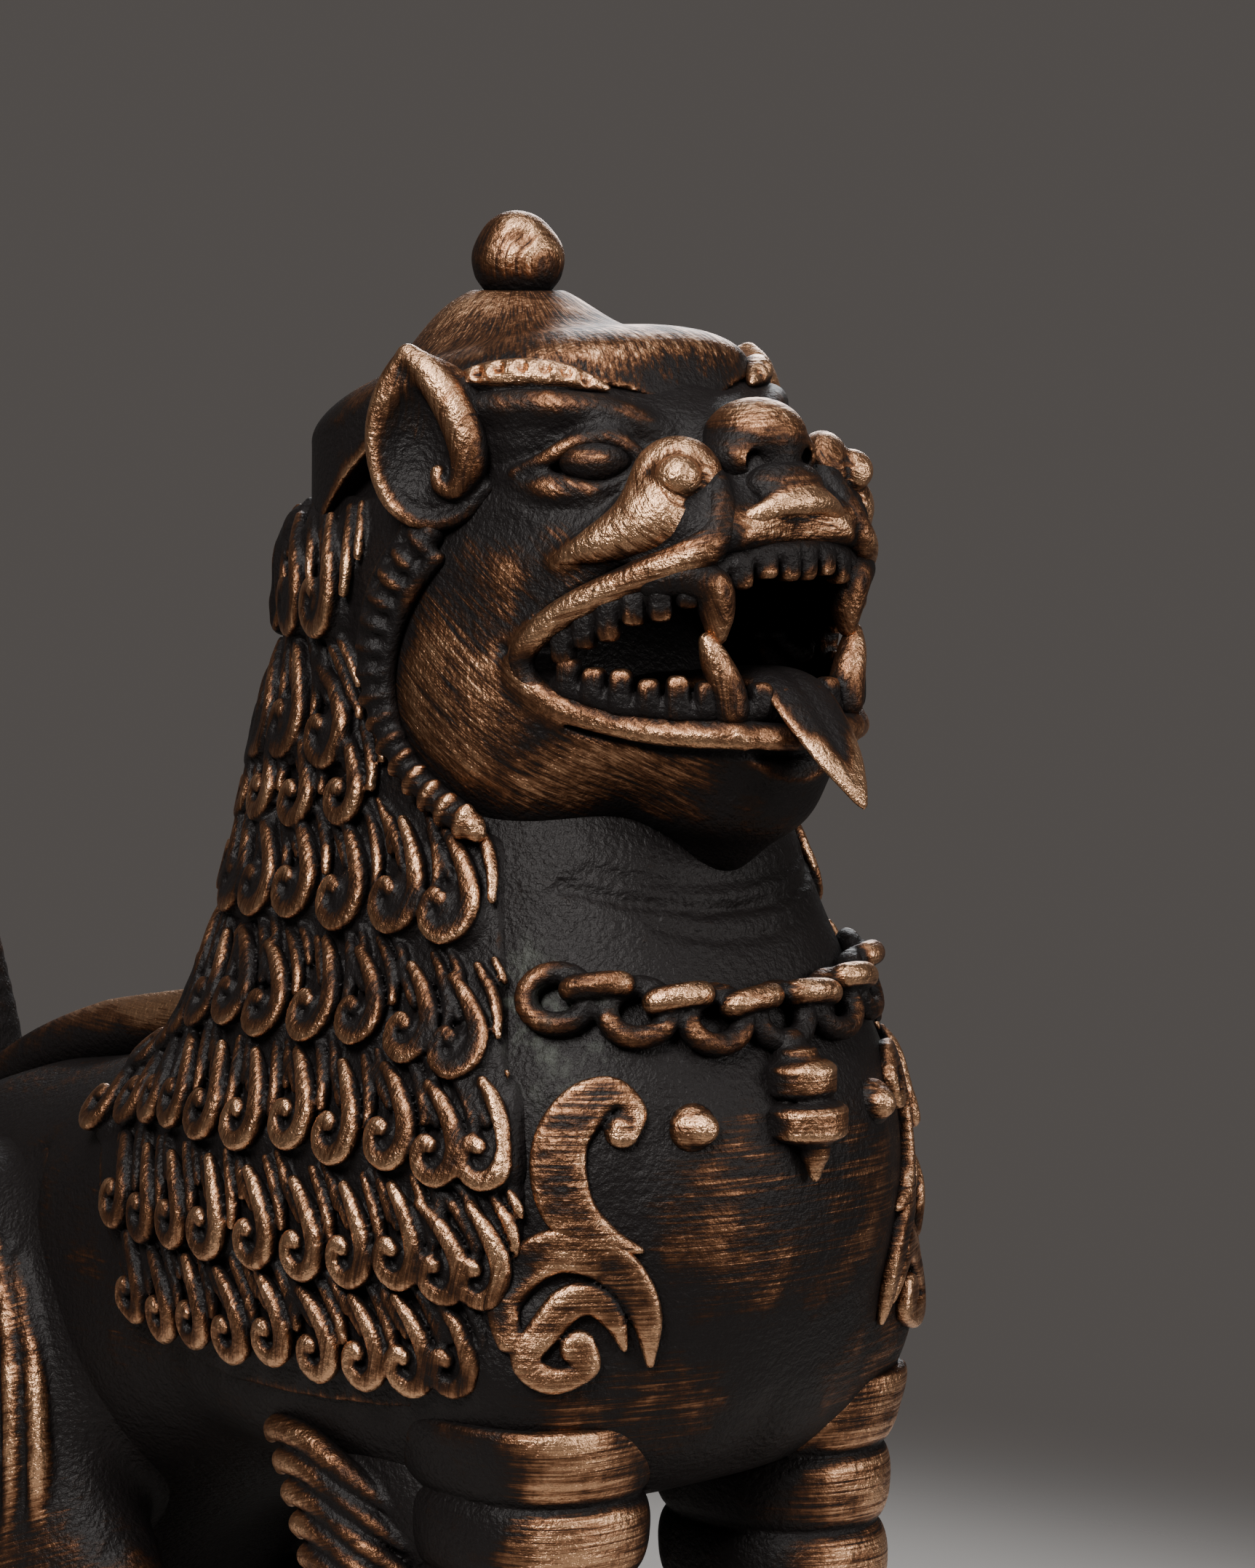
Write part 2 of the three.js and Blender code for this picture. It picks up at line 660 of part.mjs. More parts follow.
// Chain: oval links laid evenly along the chest in one casting, each tilted and touching the next.
const LINK_TILT = THREE.MathUtils.degToRad(-18);
const chainLine = new THREE.CatmullRomCurve3(
  spread(13, -27.5, 27.5).map((x) => onChest(x, 107.4 + 0.0105 * x * x, 0.9)),
);
function link(t, grow) {
  const along = chainLine.getTangentAt(t);
  const out = along.clone().cross(UP).normalize();
  along.applyAxisAngle(out, LINK_TILT);
  const across = out.clone().cross(along);
  const loop = new THREE.TorusGeometry(3, 1.15 + grow, 4, 8).scale(1.35, 0.9, 1);
  const basis = new THREE.Matrix4().makeBasis(along, across, out);
  return placed(loop, basis.setPosition(chainLine.getPointAt(t)));
}
const linkPlaces = spread(CHAIN_LINKS, 0.02, 0.98);
add("neck_chain", dark, (grow) => union(...linkPlaces.map((t) => link(t, grow))));

// Mane: a skin over the neck and withers in two halves. Each tier of curls steps out at its foot.
const MANE = { top: 158, bottom: 60 };
const tierHeight = (MANE.top - MANE.bottom) / TIERS;
function maneStep(z) {
  const down = (MANE.top - z) / tierHeight;
  return MANE_THICK * (0.72 + 0.28 * (down - Math.floor(down - 1e-6)));
}
const maneHeights = [
  48,
  ...spread(TIERS, 0, TIERS - 1).flatMap((i) => [
    MANE.top - (i + 1) * tierHeight + 0.6,
    MANE.top - (i + 1) * tierHeight - 0.6,
  ]),
  MANE.top - 0.6,
  163.5,
].sort((a, b) => a - b);
function maneOutline() {
  const outline = new THREE.Shape();
  outline.moveTo(26.4, 127);
  outline.quadraticCurveTo(29, 116, 33.4, 104);
  outline.quadraticCurveTo(38.4, 92, 36.8, 82);
  outline.quadraticCurveTo(35.6, 72, 29, 68.6);
  outline.bezierCurveTo(16, 63, -8, 58, -24, 64);
  outline.bezierCurveTo(-32, 67, -35, 72, -35, 80);
  outline.bezierCurveTo(-35, 90, -44, 98, -54, 104);
  outline.lineTo(-54, 166);
  outline.lineTo(-20, 162);
  outline.lineTo(4, 162);
  outline.quadraticCurveTo(4, 128, 26.4, 127);
  return outline;
}
function maneHalf(grow) {
  const block = new THREE.ExtrudeGeometry(maneOutline(), {
    depth: 60,
    bevelEnabled: false,
    curveSegments: 6,
  });
  const side = placed(block, sideways(-60 - GAP / 2));
  const withers = lengthwise(BARREL, BARREL_POWER, MANE_THICK * 0.8 + grow, 13, 18);
  return union(column(grow, maneStep, maneHeights), withers).intersect(side);
}
addPair("mane", dark, maneHalf);

export default statue;
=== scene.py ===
"""A seated foo dog in cast copper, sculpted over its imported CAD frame.

Every piece is modelled as a signed distance (mm) on a grid, like clay, and skinned to a mesh.
A place is (x, f, z) in mm: x < 0 is the lion's own right, f is forward of the neck's upright
axis, and z is up. Pieces on the right are mirrored to make the left ones.
"""

import math
from collections import namedtuple

import bpy
import numpy as np
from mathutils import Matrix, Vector


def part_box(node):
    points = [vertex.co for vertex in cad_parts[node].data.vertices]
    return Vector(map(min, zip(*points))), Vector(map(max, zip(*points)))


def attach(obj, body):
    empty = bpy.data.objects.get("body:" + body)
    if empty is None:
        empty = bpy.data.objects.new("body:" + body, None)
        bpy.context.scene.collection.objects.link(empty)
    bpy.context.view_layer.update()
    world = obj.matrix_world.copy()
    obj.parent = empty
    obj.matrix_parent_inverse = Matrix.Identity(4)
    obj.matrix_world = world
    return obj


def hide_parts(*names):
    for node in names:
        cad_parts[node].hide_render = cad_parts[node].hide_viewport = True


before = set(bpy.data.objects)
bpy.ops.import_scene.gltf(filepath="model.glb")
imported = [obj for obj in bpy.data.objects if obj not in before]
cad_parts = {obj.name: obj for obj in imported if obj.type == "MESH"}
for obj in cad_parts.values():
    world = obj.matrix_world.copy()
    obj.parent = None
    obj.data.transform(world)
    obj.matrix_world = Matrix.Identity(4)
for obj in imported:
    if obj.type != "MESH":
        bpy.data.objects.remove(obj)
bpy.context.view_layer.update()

finial_low, finial_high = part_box("cap_finial")
NECK_AXIS_Y = (finial_low.y + finial_high.y) * 500  # mm, where f = 0

COARSE = 0.8  # grid of the broad castings, and of the air around the whole lion
FINE = 0.4  # grid of everything with detail
GAP = 0.3  # between the right and left pieces that meet in the middle
DARK, BRUSHED, POLISHED = "dark_patina", "brushed_copper", "polished_copper"

# ---- Driving profiles, the same as the CAD castings ----
# Neck and chest: (height, half width, front, back)
COLUMN = [
    (48, 20, 24, 28), (52.5, 30, 37, 33), (62, 35, 45, 36), (74, 37, 48.5, 38),
    (86, 37.5, 49.5, 38), (98, 35.5, 48.5, 38), (108, 31.5, 45, 37), (118, 28, 40.5, 35),
    (128, 25.5, 36, 33), (140, 23.5, 28, 31), (150, 22, 22, 28), (159, 19.5, 16, 25),
    (165, 17.5, 12, 24),
]
# Barrel and rump: (forward, half width, top, bottom)
BARREL = [
    (-124, 12, 58, 6), (-119, 23, 70, 1), (-108, 31, 81, 0), (-92, 34, 87, 0), (-76, 34, 90, 10),
    (-58, 34, 95, 27), (-38, 35, 102, 38), (-18, 35, 106, 45), (4, 33, 106, 51), (22, 26, 100, 57),
]
# Skull, cheeks and muzzle: (forward, half width, top, bottom)
HEAD = [
    (-24, 15, 168, 142), (-16, 20, 172.5, 133), (-4, 23.5, 176.5, 127), (10, 25.2, 179, 125),
    (22, 24, 179.4, 125.5), (31, 21.5, 177, 127.5), (38, 18.5, 171.5, 129.5), (44, 15.5, 168, 132),
    (49, 11, 165.5, 135),
]
# Mouth: (forward, lower edge, upper edge)
MOUTH = [
    (25.5, 149, 149.8), (29, 146.2, 153), (35, 143.6, 156.6), (42, 142.4, 159.2),
    (50, 141.8, 161.4), (62, 141.4, 163),
]
# Foreleg: (height, x, forward, half width, front, back)
FORELEG = [
    (0, -20, 31, 12, 17.5, 14), (7, -20, 31, 12.4, 18.5, 14), (14, -20, 28.5, 11.8, 15.5, 14),
    (21, -19.8, 25.5, 10.8, 13.6, 13.4), (40, -19.4, 24.3, 11, 14, 13.6),
    (56, -19.6, 24.6, 12, 15, 15), (68, -21.5, 25.5, 14, 16.5, 17), (80, -22, 24, 12, 15, 17),
]
LEG_GROOVES = [14.5, 24, 33.5, 43, 52.5, 62]

# ---- Distances ----
Shape = namedtuple("Shape", "low high distance")  # distance(x, f, z) is negative inside


def between(stations, place):
    """Values at a place between stations (place, *values), on a smooth curve through them."""
    s = np.array(stations, np.float32)
    w = np.clip(place, s[0, 0], s[-1, 0])
    i = np.clip(np.searchsorted(s[:, 0], w) - 1, 0, len(s) - 2)
    n = np.arange(len(s))
    before, after = np.maximum(n - 1, 0), np.minimum(n + 1, len(s) - 1)
    slope = (s[after, 1:] - s[before, 1:]) / (s[after, :1] - s[before, :1])
    span = s[i + 1, 0] - s[i, 0]
    t = (w - s[i, 0]) / span
    ease = t * t * (3 - 2 * t)
    start, end = span * t * (1 - t) ** 2, span * t * t * (1 - t)
    return [
        s[i, k + 1] + (s[i + 1, k + 1] - s[i, k + 1]) * ease + start * slope[i, k] - end * slope[i + 1, k]
        for k in range(s.shape[1] - 1)
    ]


def radial(u, v, half, plus, minus, power):
    """Distance from (u, v) to a superellipse, measured along the ray from its centre."""
    reach = np.where(v > 0, plus, minus)
    q = ((np.abs(u) / half) ** power + (np.abs(v) / reach) ** power) ** (1 / power)
    return np.maximum(np.hypot(u, v), 0.1) * (1 - 1 / np.maximum(q, 0.1 / half))


def join(a, b, soft=0.0):
    """The union of two distances, with a fillet soft mm wide."""
    if soft <= 0:
        return np.minimum(a, b)
    h = np.clip(0.5 + 0.5 * (b - a) / soft, 0, 1)
    return b + (a - b) * h - soft * h * (1 - h)


def column(x, f, z):
    half, front, back = between(COLUMN, z)
    d = radial(x, f, half, front, back, 2.5)
    return np.maximum(np.maximum(d, COLUMN[0][0] - z), z - COLUMN[-1][0])


def lengthwise(stations, power, x, f, z):
    half, top, bottom = between(stations, f)
    high = (top - bottom) / 2
    d = radial(x, z - (top + bottom) / 2, half, high, high, power)
    return np.maximum(np.maximum(d, stations[0][0] - f), f - stations[-1][0])


def torso(x, f, z):
    return join(column(x, f, z), lengthwise(BARREL, 2.3, x, f, z), 8)


def head(x, f, z):
    return lengthwise(HEAD, 2.35, x, f, z)


def body(x, f, z):
    return np.minimum(torso(x, f, z), head(x, f, z))


def plain_foreleg(x, f, z):
    centre_x, centre_f, half, front, back = between(FORELEG, z)
    return radial(x - centre_x, f - centre_f, half, front, back, 2.4)


def chest(x, f, z):
    """The torso with the top of the right foreleg run into it, as a shoulder."""
    shoulder = np.maximum(np.maximum(plain_foreleg(x, f, z) + 1.6, 61 - z), z - 75)
    return join(torso(x, f, z), shoulder, 5)


# ---- Shapes of clay ----
def turn_matrix(turn=0.0, tip=0.0, roll=0.0):
    """Rows are a shape's own axes: turned about z, tipped about x and rolled about f, in degrees."""
    a, b, c = (math.radians(v) for v in (turn, tip, roll))
    about_z = np.array([[math.cos(a), -math.sin(a), 0], [math.sin(a), math.cos(a), 0], [0, 0, 1]])
    about_x = np.array([[1, 0, 0], [0, math.cos(b), -math.sin(b)], [0, math.sin(b), math.cos(b)]])
    about_f = np.array([[math.cos(c), 0, math.sin(c)], [0, 1, 0], [-math.sin(c), 0, math.cos(c)]])
    return (about_z @ about_x @ about_f).T


def blob(centre, half, axes=None):
    """An ellipsoid with half sizes along its own axes."""
    axes = np.eye(3) if axes is None else axes
    reach = np.sqrt(((axes * np.array(half)[:, None]) ** 2).sum(0))

    def distance(x, f, z):
        x, f, z = x - centre[0], f - centre[1], z - centre[2]
        local = [row[0] * x + row[1] * f + row[2] * z for row in axes]
        near = np.sqrt(sum((v / h) ** 2 for v, h in zip(local, half))) + 1e-4
        slope = np.sqrt(sum((v / h**2) ** 2 for v, h in zip(local, half))) + 1e-4
        return near * (near - 1) / slope

    centre = np.array(centre, float)
    return Shape(centre - reach, centre + reach, distance)


def block(centre, half, axes):
    """A box with rounded edges."""
    near = blob(centre, half, axes)

    def distance(x, f, z):
        x, f, z = x - centre[0], f - centre[1], z - centre[2]
        local = [np.abs(row[0] * x + row[1] * f + row[2] * z) / h for row, h in zip(axes, half)]
        return (sum(v**4 for v in local) ** 0.25 - 1) * min(half)

    return Shape(near.low, near.high, distance)


def curve(points, steps=6):
    """A smooth curve through points, as an array of closer points. Any columns after z follow too."""
    p = np.array(points, float)
    p = np.vstack([2 * p[0] - p[1], p, 2 * p[-1] - p[-2]])
    t = np.linspace(0, 1, steps, endpoint=False)[:, None]
    parts = [
        b + 0.5 * t * (c - a + t * (2 * a - 5 * b + 4 * c - d + t * (3 * (b - c) + d - a)))
        for a, b, c, d in zip(p, p[1:], p[2:], p[3:])
    ]
    return np.vstack([*parts, p[-2:-1]])


def stroke(points, radii=None):
    """A round line through points (x, f, z), with a radius at each point."""
    p = np.array(points, float)
    r = p[:, 3] if radii is None else np.broadcast_to(radii, len(p)).astype(float)
    p = p[:, :3]

    def distance(x, f, z):
        out = np.full(np.broadcast_shapes(x.shape, f.shape, z.shape), 9.0, np.float32)
        flat = [np.ravel(v) for v in (x, f, z)]
        for a, b, ra, rb in zip(p, p[1:], r, r[1:]):
            reach = max(ra, rb) + 4
            low, high = np.minimum(a, b) - reach, np.maximum(a, b) + reach
            cut = tuple(
                slice(np.searchsorted(v, lo), np.searchsorted(v, hi)) for v, lo, hi in zip(flat, low, high)
            )
            if any(s.start >= s.stop for s in cut):
                continue
            along = b - a
            px, pf, pz = x[cut[0]] - a[0], f[:, cut[1]] - a[1], z[:, :, cut[2]] - a[2]
            t = (px * along[0] + pf * along[1] + pz * along[2]) / max(along @ along, 1e-6)
            t = np.clip(t, 0, 1)
            d = np.sqrt((px - t * along[0]) ** 2 + (pf - t * along[1]) ** 2 + (pz - t * along[2]) ** 2)
            out[cut] = np.minimum(out[cut], d - ra - t * (rb - ra))
        return out

    margin = r.max()
    return Shape(p.min(0) - margin, p.max(0) + margin, distance)


def swelling(points, thin, thick, steps=6):
    """A smooth stroke that is thin at both ends and thick in the middle."""
    path = curve(points, steps)
    t = np.linspace(0, 1, len(path))
    return stroke(path, thin + (thick - thin) * np.sin(np.pi * t) ** 0.8)


def tapering(points, start, end, steps=6):
    path = curve(points, steps)
    return stroke(path, np.linspace(start, end, len(path)))


def region(low, high, distance):
    return Shape(np.array(low, float), np.array(high, float), distance)


def grown(shape, by):
    return Shape(shape.low - by, shape.high + by, lambda x, f, z: shape.distance(x, f, z) - by)


class Clay:
    """A grid of signed distances. With half=True only x <= 0 is modelled, and skin() mirrors it."""

    def __init__(self, low, high, step=FINE, half=False):
        low, high = np.array(low, float), np.array(high, float)
        if half:
            high[0] = 0
        first = np.floor(low / COARSE + 1e-6) * COARSE
        last = np.ceil(high / COARSE - 1e-6) * COARSE
        self.start, self.step, self.half = first, step, half
        self.size = np.round((last - first) / step).astype(int) + 1
        axes = [s + step * np.arange(n) for s, n in zip(first, self.size)]
        self.x = axes[0].astype(np.float32).reshape(-1, 1, 1)
        self.f = axes[1].astype(np.float32).reshape(1, -1, 1)
        self.z = axes[2].astype(np.float32).reshape(1, 1, -1)
        self.d = np.full(self.size, 9.0, np.float32)

    def merge(self, shape, apply, margin):
        a = np.floor((shape.low - margin - self.start) / self.step).astype(int)
        b = np.ceil((shape.high + margin - self.start) / self.step).astype(int) + 1
        a, b = np.clip(a, 0, self.size), np.clip(b, 0, self.size)
        if (a >= b).any():
            return self
        cut = tuple(slice(i, j) for i, j in zip(a, b))
        d = shape.distance(self.x[cut[0]], self.f[:, cut[1]], self.z[:, :, cut[2]])
        self.d[cut] = apply(self.d[cut], d)
        return self

    def add(self, shape, soft=0.0):
        return self.merge(shape, lambda old, d: join(old, d, soft), soft + 3)

    def cut(self, shape, soft=0.0):
        return self.merge(shape, lambda old, d: -join(-old, d, soft), soft + 1)

    def fill(self, distance):
        """Adds a distance known everywhere, such as a casting's."""
        self.d = np.minimum(self.d, distance(self.x, self.f, self.z)).astype(np.float32)
        return self

    def keep(self, distance, soft=0.0):
        """Keeps only what is also inside another distance."""
        self.d = -join(-self.d, -distance(self.x, self.f, self.z), soft).astype(np.float32)
        return self

    def hollow(self, distance, depth):
        """Takes away what is deeper than depth inside a casting."""
        return self.keep(lambda x, f, z: -distance(x, f, z) - depth)

    def heights(self, low=-math.inf, high=math.inf):
        """Keeps only what is between two heights."""
        return self.keep(lambda x, f, z: np.maximum(low - z, z - high))

    def right_half(self):
        return self.keep(lambda x, f, z: x + GAP / 2)


def blur(field, reach):
    """Mean over a cube of reach cells each way, twice."""
    for axis in (0, 1, 2, 0, 1, 2):
        pad = [(reach + 1, reach) if a == axis else (0, 0) for a in range(3)]
        total = np.cumsum(np.pad(field, pad, mode="edge"), axis=axis, dtype=np.float32)
        n = total.shape[axis]
        high = np.take(total, range(2 * reach + 1, n), axis)
        low = np.take(total, range(0, n - 2 * reach - 1), axis)
        field = (high - low) / (2 * reach + 1)
    return field


def sample(field, start, step, points):
    """Values of a grid at points, by linear interpolation."""
    g = (points - start) / step
    limit = np.array(field.shape) - 2
    i = np.clip(np.floor(g).astype(int), 0, limit)
    t = np.clip(g - i, 0, 1)
    total = np.zeros(len(points))
    for a in (0, 1):
        for b in (0, 1):
            for c in (0, 1):
                share = np.where((a, b, c), t, 1 - t).prod(1)
                total += share * field[i[:, 0] + a, i[:, 1] + b, i[:, 2] + c]
    return total


def skin(d, start, step):
    """Surface nets: one point in each cell that the surface crosses, and a quad across each edge."""
    inside = d < 0
    corners = [(i, j, k) for i in (0, 1) for j in (0, 1) for k in (0, 1)]
    n = np.array(d.shape) - 1
    count = np.zeros(n, np.int8)
    for i, j, k in corners:
        count += inside[i : i + n[0], j : j + n[1], k : k + n[2]]
    active = (count > 0) & (count < 8)
    index = np.full(n, -1, np.int32)
    cells = np.argwhere(active)
    index[active] = np.arange(len(cells))
    value = {c: d[cells[:, 0] + c[0], cells[:, 1] + c[1], cells[:, 2] + c[2]] for c in corners}
    total, hits = np.zeros((len(cells), 3)), np.zeros(len(cells))
    for a in corners:
        for axis in range(3):
            if a[axis]:
                continue
            b = tuple(1 if k == axis else a[k] for k in range(3))
            crossed = (value[a] < 0) != (value[b] < 0)
            t = value[a] / np.where(crossed, value[a] - value[b], 1)
            place = np.tile(np.array(a, float), (len(cells), 1))
            place[:, axis] = t
            total += np.where(crossed[:, None], place, 0)
            hits += crossed
    points = start + step * (cells + total / hits[:, None])
    quads = []
    for axis in range(3):
        u, v = (axis + 1) % 3, (axis + 2) % 3
        low = [slice(1, -1)] * 3
        high = [slice(1, -1)] * 3
        low[axis], high[axis] = slice(0, -1), slice(1, None)
        a, b = inside[tuple(low)], inside[tuple(high)]
        for out in (True, False):
            edges = np.argwhere(a & ~b if out else b & ~a)
            edges[:, u] += 1
            edges[:, v] += 1
            ring = []
            for du, dv in ((-1, -1), (0, -1), (0, 0), (-1, 0)):
                c = edges.copy()
                c[:, u] += du
                c[:, v] += dv
                ring.append(index[c[:, 0], c[:, 1], c[:, 2]])
            ring = np.stack(ring, 1)
            quads.append(ring if out else ring[:, ::-1])
    return points, np.vstack(quads)


# ---- Laying shapes on the castings ----
def normal_at(distance, points, eps=0.3):
    """Outward unit normals of a distance at points (n, 3)."""
    slope = np.zeros_like(points)
    for k in range(3):
        step = np.zeros(3)
        step[k] = eps
        up, down = points + step, points - step
        slope[:, k] = distance(*up.T) - distance(*down.T)
    return slope / np.maximum(np.linalg.norm(slope, axis=1, keepdims=True), 1e-6)


def on_surface(distance, points, lift=0.0):
    """Points moved to stand lift mm off a surface."""
    p = np.array(points, float)[:, :3]
    for _ in range(3):
        p = p - distance(*p.T)[:, None] * normal_at(distance, p)
    return p + np.reshape(lift, (-1, 1)) * normal_at(distance, p)


def laid(distance, line, lift, swell=1.0, steps=5):
    """A smooth stroke on a surface, through points (x, f, z, radius)."""
    path = curve(line, steps)
    return stroke(on_surface(distance, path, lift), path[:, 3] * swell)


def on_chest(x, z, lift=0.0):
    """A point on the front of the neck and chest."""
    half, front, _ = (float(v) for v in between(COLUMN, z))
    f = front * (1 - min(0.97, abs(x) / half) ** 2.5) ** 0.4
    return on_surface(torso, [(x, f, z)], lift)[0]


def chest_line(points, steps=6):
    """A smooth line (x, z, radius) laid on the chest, as (x, f, z, radius)."""
    path = curve(points, steps)
    places = np.array([on_chest(x, z) for x, z, _ in path])
    return np.column_stack([places, path[:, 2]])


def fan(centre, axes, points):
    """Points (a, b, c[, radius]) in a piece's own axes, as places with the same radii."""
    p = np.array(points, float)
    return np.column_stack([np.array(centre) + p[:, :3] @ axes, p[:, 3:]])


def local_axes(distance, place):
    """Axes on a surface at a place: forwards round it, up along it, and out of it."""
    out = normal_at(distance, np.array([place], float))[0]
    ahead = np.cross(out, (0, 0, 1))
    ahead /= np.linalg.norm(ahead)
    return np.stack([ahead, np.cross(ahead, out), out])


def side_axes(degrees):
    """Axes of an upright disc that faces out to the right: out of it, across it, and up."""
    a = math.radians(degrees)
    return np.array([[-math.sin(a), math.cos(a), 0], [math.cos(a), math.sin(a), 0], [0, 0, 1]])


def lengths(path):
    """How far along a path each of its points is."""
    return np.concatenate([[0], np.cumsum(np.linalg.norm(np.diff(path, axis=0), axis=1))])


def point_along(path, along):
    return np.array([np.interp(along, lengths(path), path[:, k]) for k in range(3)])


# ---- Pieces and their brush marks ----
Piece = namedtuple("Piece", "clay pair slot rub grain tone")
Rub = namedtuple("Rub", "centre reach strength")  # where hands and brushes bring up the copper
pieces = {}


def piece(name, clay, slot, pair=False, rub=(), grain=None, tone=0.0):
    """Keeps a finished piece. tone shifts how bare its copper is, all over."""
    pieces[name] = Piece(clay, pair, slot, rub, grain or straight((0, 1, 0)), tone)


def straight(along, out=(1, 0.001, 0)):
    """Brush marks in one direction on a face that looks out: coordinates (along, across, out)."""
    a = np.array(along, float) / np.linalg.norm(along)
    b = np.cross(a, out)
    b /= np.linalg.norm(b)
    return lambda p: p @ np.stack([a, b, 0.12 * np.cross(a, b)]).T


def around(x, f, radius):
    """Brush marks that run level round an upright line."""

    def place(p):
        angle = np.arctan2(p[:, 0] - x, p[:, 1] - f)
        return np.column_stack([angle * radius, p[:, 2], 0.12 * np.hypot(p[:, 0] - x, p[:, 1] - f)])

    return place


def downward(p):
    """Brush marks that fan out and down from the neck's axis."""
    angle = np.arctan2(p[:, 0], p[:, 1])
    return np.column_stack([np.hypot(p[:, 0], p[:, 1]), angle * 22, 0.3 * p[:, 2]])


UPRIGHT = straight((0, 0, 1))

# ---- Head ----
# The right lip, from under the nose round the corner of the mouth to the chin
LIP = curve([
    (-8.6, 44.8, 168.2), (-9.6, 46.6, 165.2), (-11.4, 46.8, 162.2), (-13.9, 44.8, 160.3),
    (-16.4, 41.4, 158.7), (-18.6, 37.8, 157), (-20.8, 33.8, 154.8), (-22.2, 30.4, 152.4),
    (-22.9, 28, 149.8), (-22.8, 27.6, 147.2), (-21.8, 29.6, 144.8), (-20.2, 33.2, 143),
    (-18, 37.6, 141.7), (-15, 42.8, 140.7), (-11, 47.2, 140.3), (-6, 49.8, 140), (0, 50.8, 139.8),
], 4)
LIP_CORNER = 8  # where on it the groove outside the lip starts
LIP_SHAPE = ([0, 0.15, 0.3, 0.5, 0.7, 1], [1.8, 2.3, 1.8, 1.6, 1.4, 1.2])  # share of the way, radius
BROW = [(-23.5, 13.5, 176.2), (-20.6, 20.8, 177.2), (-16, 27.6, 177.2), (-10.6, 32.6, 175.8),
        (-7.6, 34.4, 174.2)]
WHISKER, WHISKER_AXES = (-11.2, 41.4, 168.8), side_axes(48)
EAR, EAR_AXES = (-24.6, 13.6, 172.8), side_axes(58)


def mouth(x, f, z):
    lower, upper = between(MOUTH, f)
    return np.maximum(np.maximum(z - upper, lower - z) * 0.9, MOUTH[0][0] - f)


def whisker_body():
    """The flat disc that the whisker curl is cut in, and its tail down the cheek."""
    disc = blob(WHISKER, (3.6, 5.4, 5.3), WHISKER_AXES)
    tail = tapering([(-13.4, 40.8, 165), (-15.8, 38.8, 163.4), (-18.6, 35.6, 161.8), (-20.8, 31.4, 160)]
                     , 5, 0.8)

    def distance(x, f, z):
        return join(disc.distance(x, f, z), tail.distance(x, f, z), 2)

    return Shape(np.minimum(disc.low, tail.low), np.maximum(disc.high, tail.high), distance)


def make_head():
    clay = Clay((-31, -27, 118), (0, 55, 183), half=True).fill(head)
    # Cheek, bridge of the snout, brow, forehead, muzzle, and the chin and its point
    clay.add(blob((-14.5, 16, 141), (11.6, 17.5, 15.5)), 5)
    clay.add(stroke([(0, 16, 173, 8), (0, 26, 173.4, 7), (0, 34, 171.4, 6), (0, 42, 168.6, 6)]), 5)
    clay.add(stroke([(-16.5, 10, 173.5, 6), (-14.5, 20, 174.4, 5), (-10.5, 27.5, 174.6, 4),
                     (-5, 32, 173, 4)]), 3)
    clay.add(blob((-9, 17, 174.5), (12.5, 12.5, 7.5)), 4)
    clay.add(blob((-7, 41, 163.5), (8.5, 8.5, 5)), 3)
    clay.add(blob((0, 38.5, 133), (10, 9, 6.8)), 4)
    clay.add(blob((0, 35, 127), (4.6, 5, 4.2)), 4)
    # Eye socket, the fold from the ear to the snout, and the swelling under the eye
    clay.cut(blob((-19.5, 31.5, 169.5), (5, 7, 3.6), turn_matrix(turn=-35)), 2.5)
    fold = [(-27.5, 14, 163, 2.6), (-26, 22, 163.6, 2.4), (-22.4, 31, 164.4, 2), (-18.5, 36, 165.4, 1.4)]
    clay.cut(stroke(curve(fold)), 3)
    clay.add(stroke(curve([(-19.6, 22, 168.8, 1.2), (-18.6, 28, 167.8, 1.7), (-16, 32.4, 167.4, 1.2)])), 1.5)
    # Hollow of the mouth, and the groove outside the lip
    clay.cut(blob((0, 26, 150.5), (15.5, 21, 11.5)), 2)
    clay.cut(region((-40, 20, 138), (40, 64, 166), mouth), 1.2)
    clay.add(stroke(LIP, 1.5), 1.6)
    lip = LIP[LIP_CORNER:]
    outside = lip + (lip - (-12, 42, 150)) * (0.02, -0.03, 0.17)
    clay.cut(stroke(on_surface(head, outside + (0, -0.6, 0), 0.2), 0.75), 0.9)
    # Lids round the eye
    upper = [(-20.4, 23.5, 169.6, 0.75), (-18.6, 27.2, 171.4, 1.05), (-16, 30.2, 173.4, 1.25),
             (-13.4, 33, 173.6, 1.25), (-11.2, 35.4, 171.6, 0.95)]
    lower = [(-19.2, 26, 169.8, 0.75), (-17.6, 30.4, 168.4, 1.05), (-14.8, 33.6, 168.2, 1.05),
             (-11.6, 35.6, 170.4, 0.85)]
    for lid in (upper, lower):
        clay.add(stroke(curve(lid)), 0.6)
    clay.add(swelling(BROW, 1, 1.9), 2)
    clay.add(grown(whisker_body(), -0.4), 2)
    rub = [
        Rub((-24, 14, 143), (9, 13, 13), 0.66),
        Rub((-25, 20, 157), (7, 10, 8), 0.42),
        Rub((-17, 34, 134), (9, 15, 5.5), 0.62),
        Rub((-17, 34, 161), (7, 8, 4), 0.5),
        Rub((0, 50, 165), (8, 4, 3), 0.8),
        Rub((-18, 28, 168), (3, 5, 1.5), 0.2),
    ]
    piece("head_casting", clay, BRUSHED, rub=rub, grain=straight((-0.2, 0.8, -0.55)))


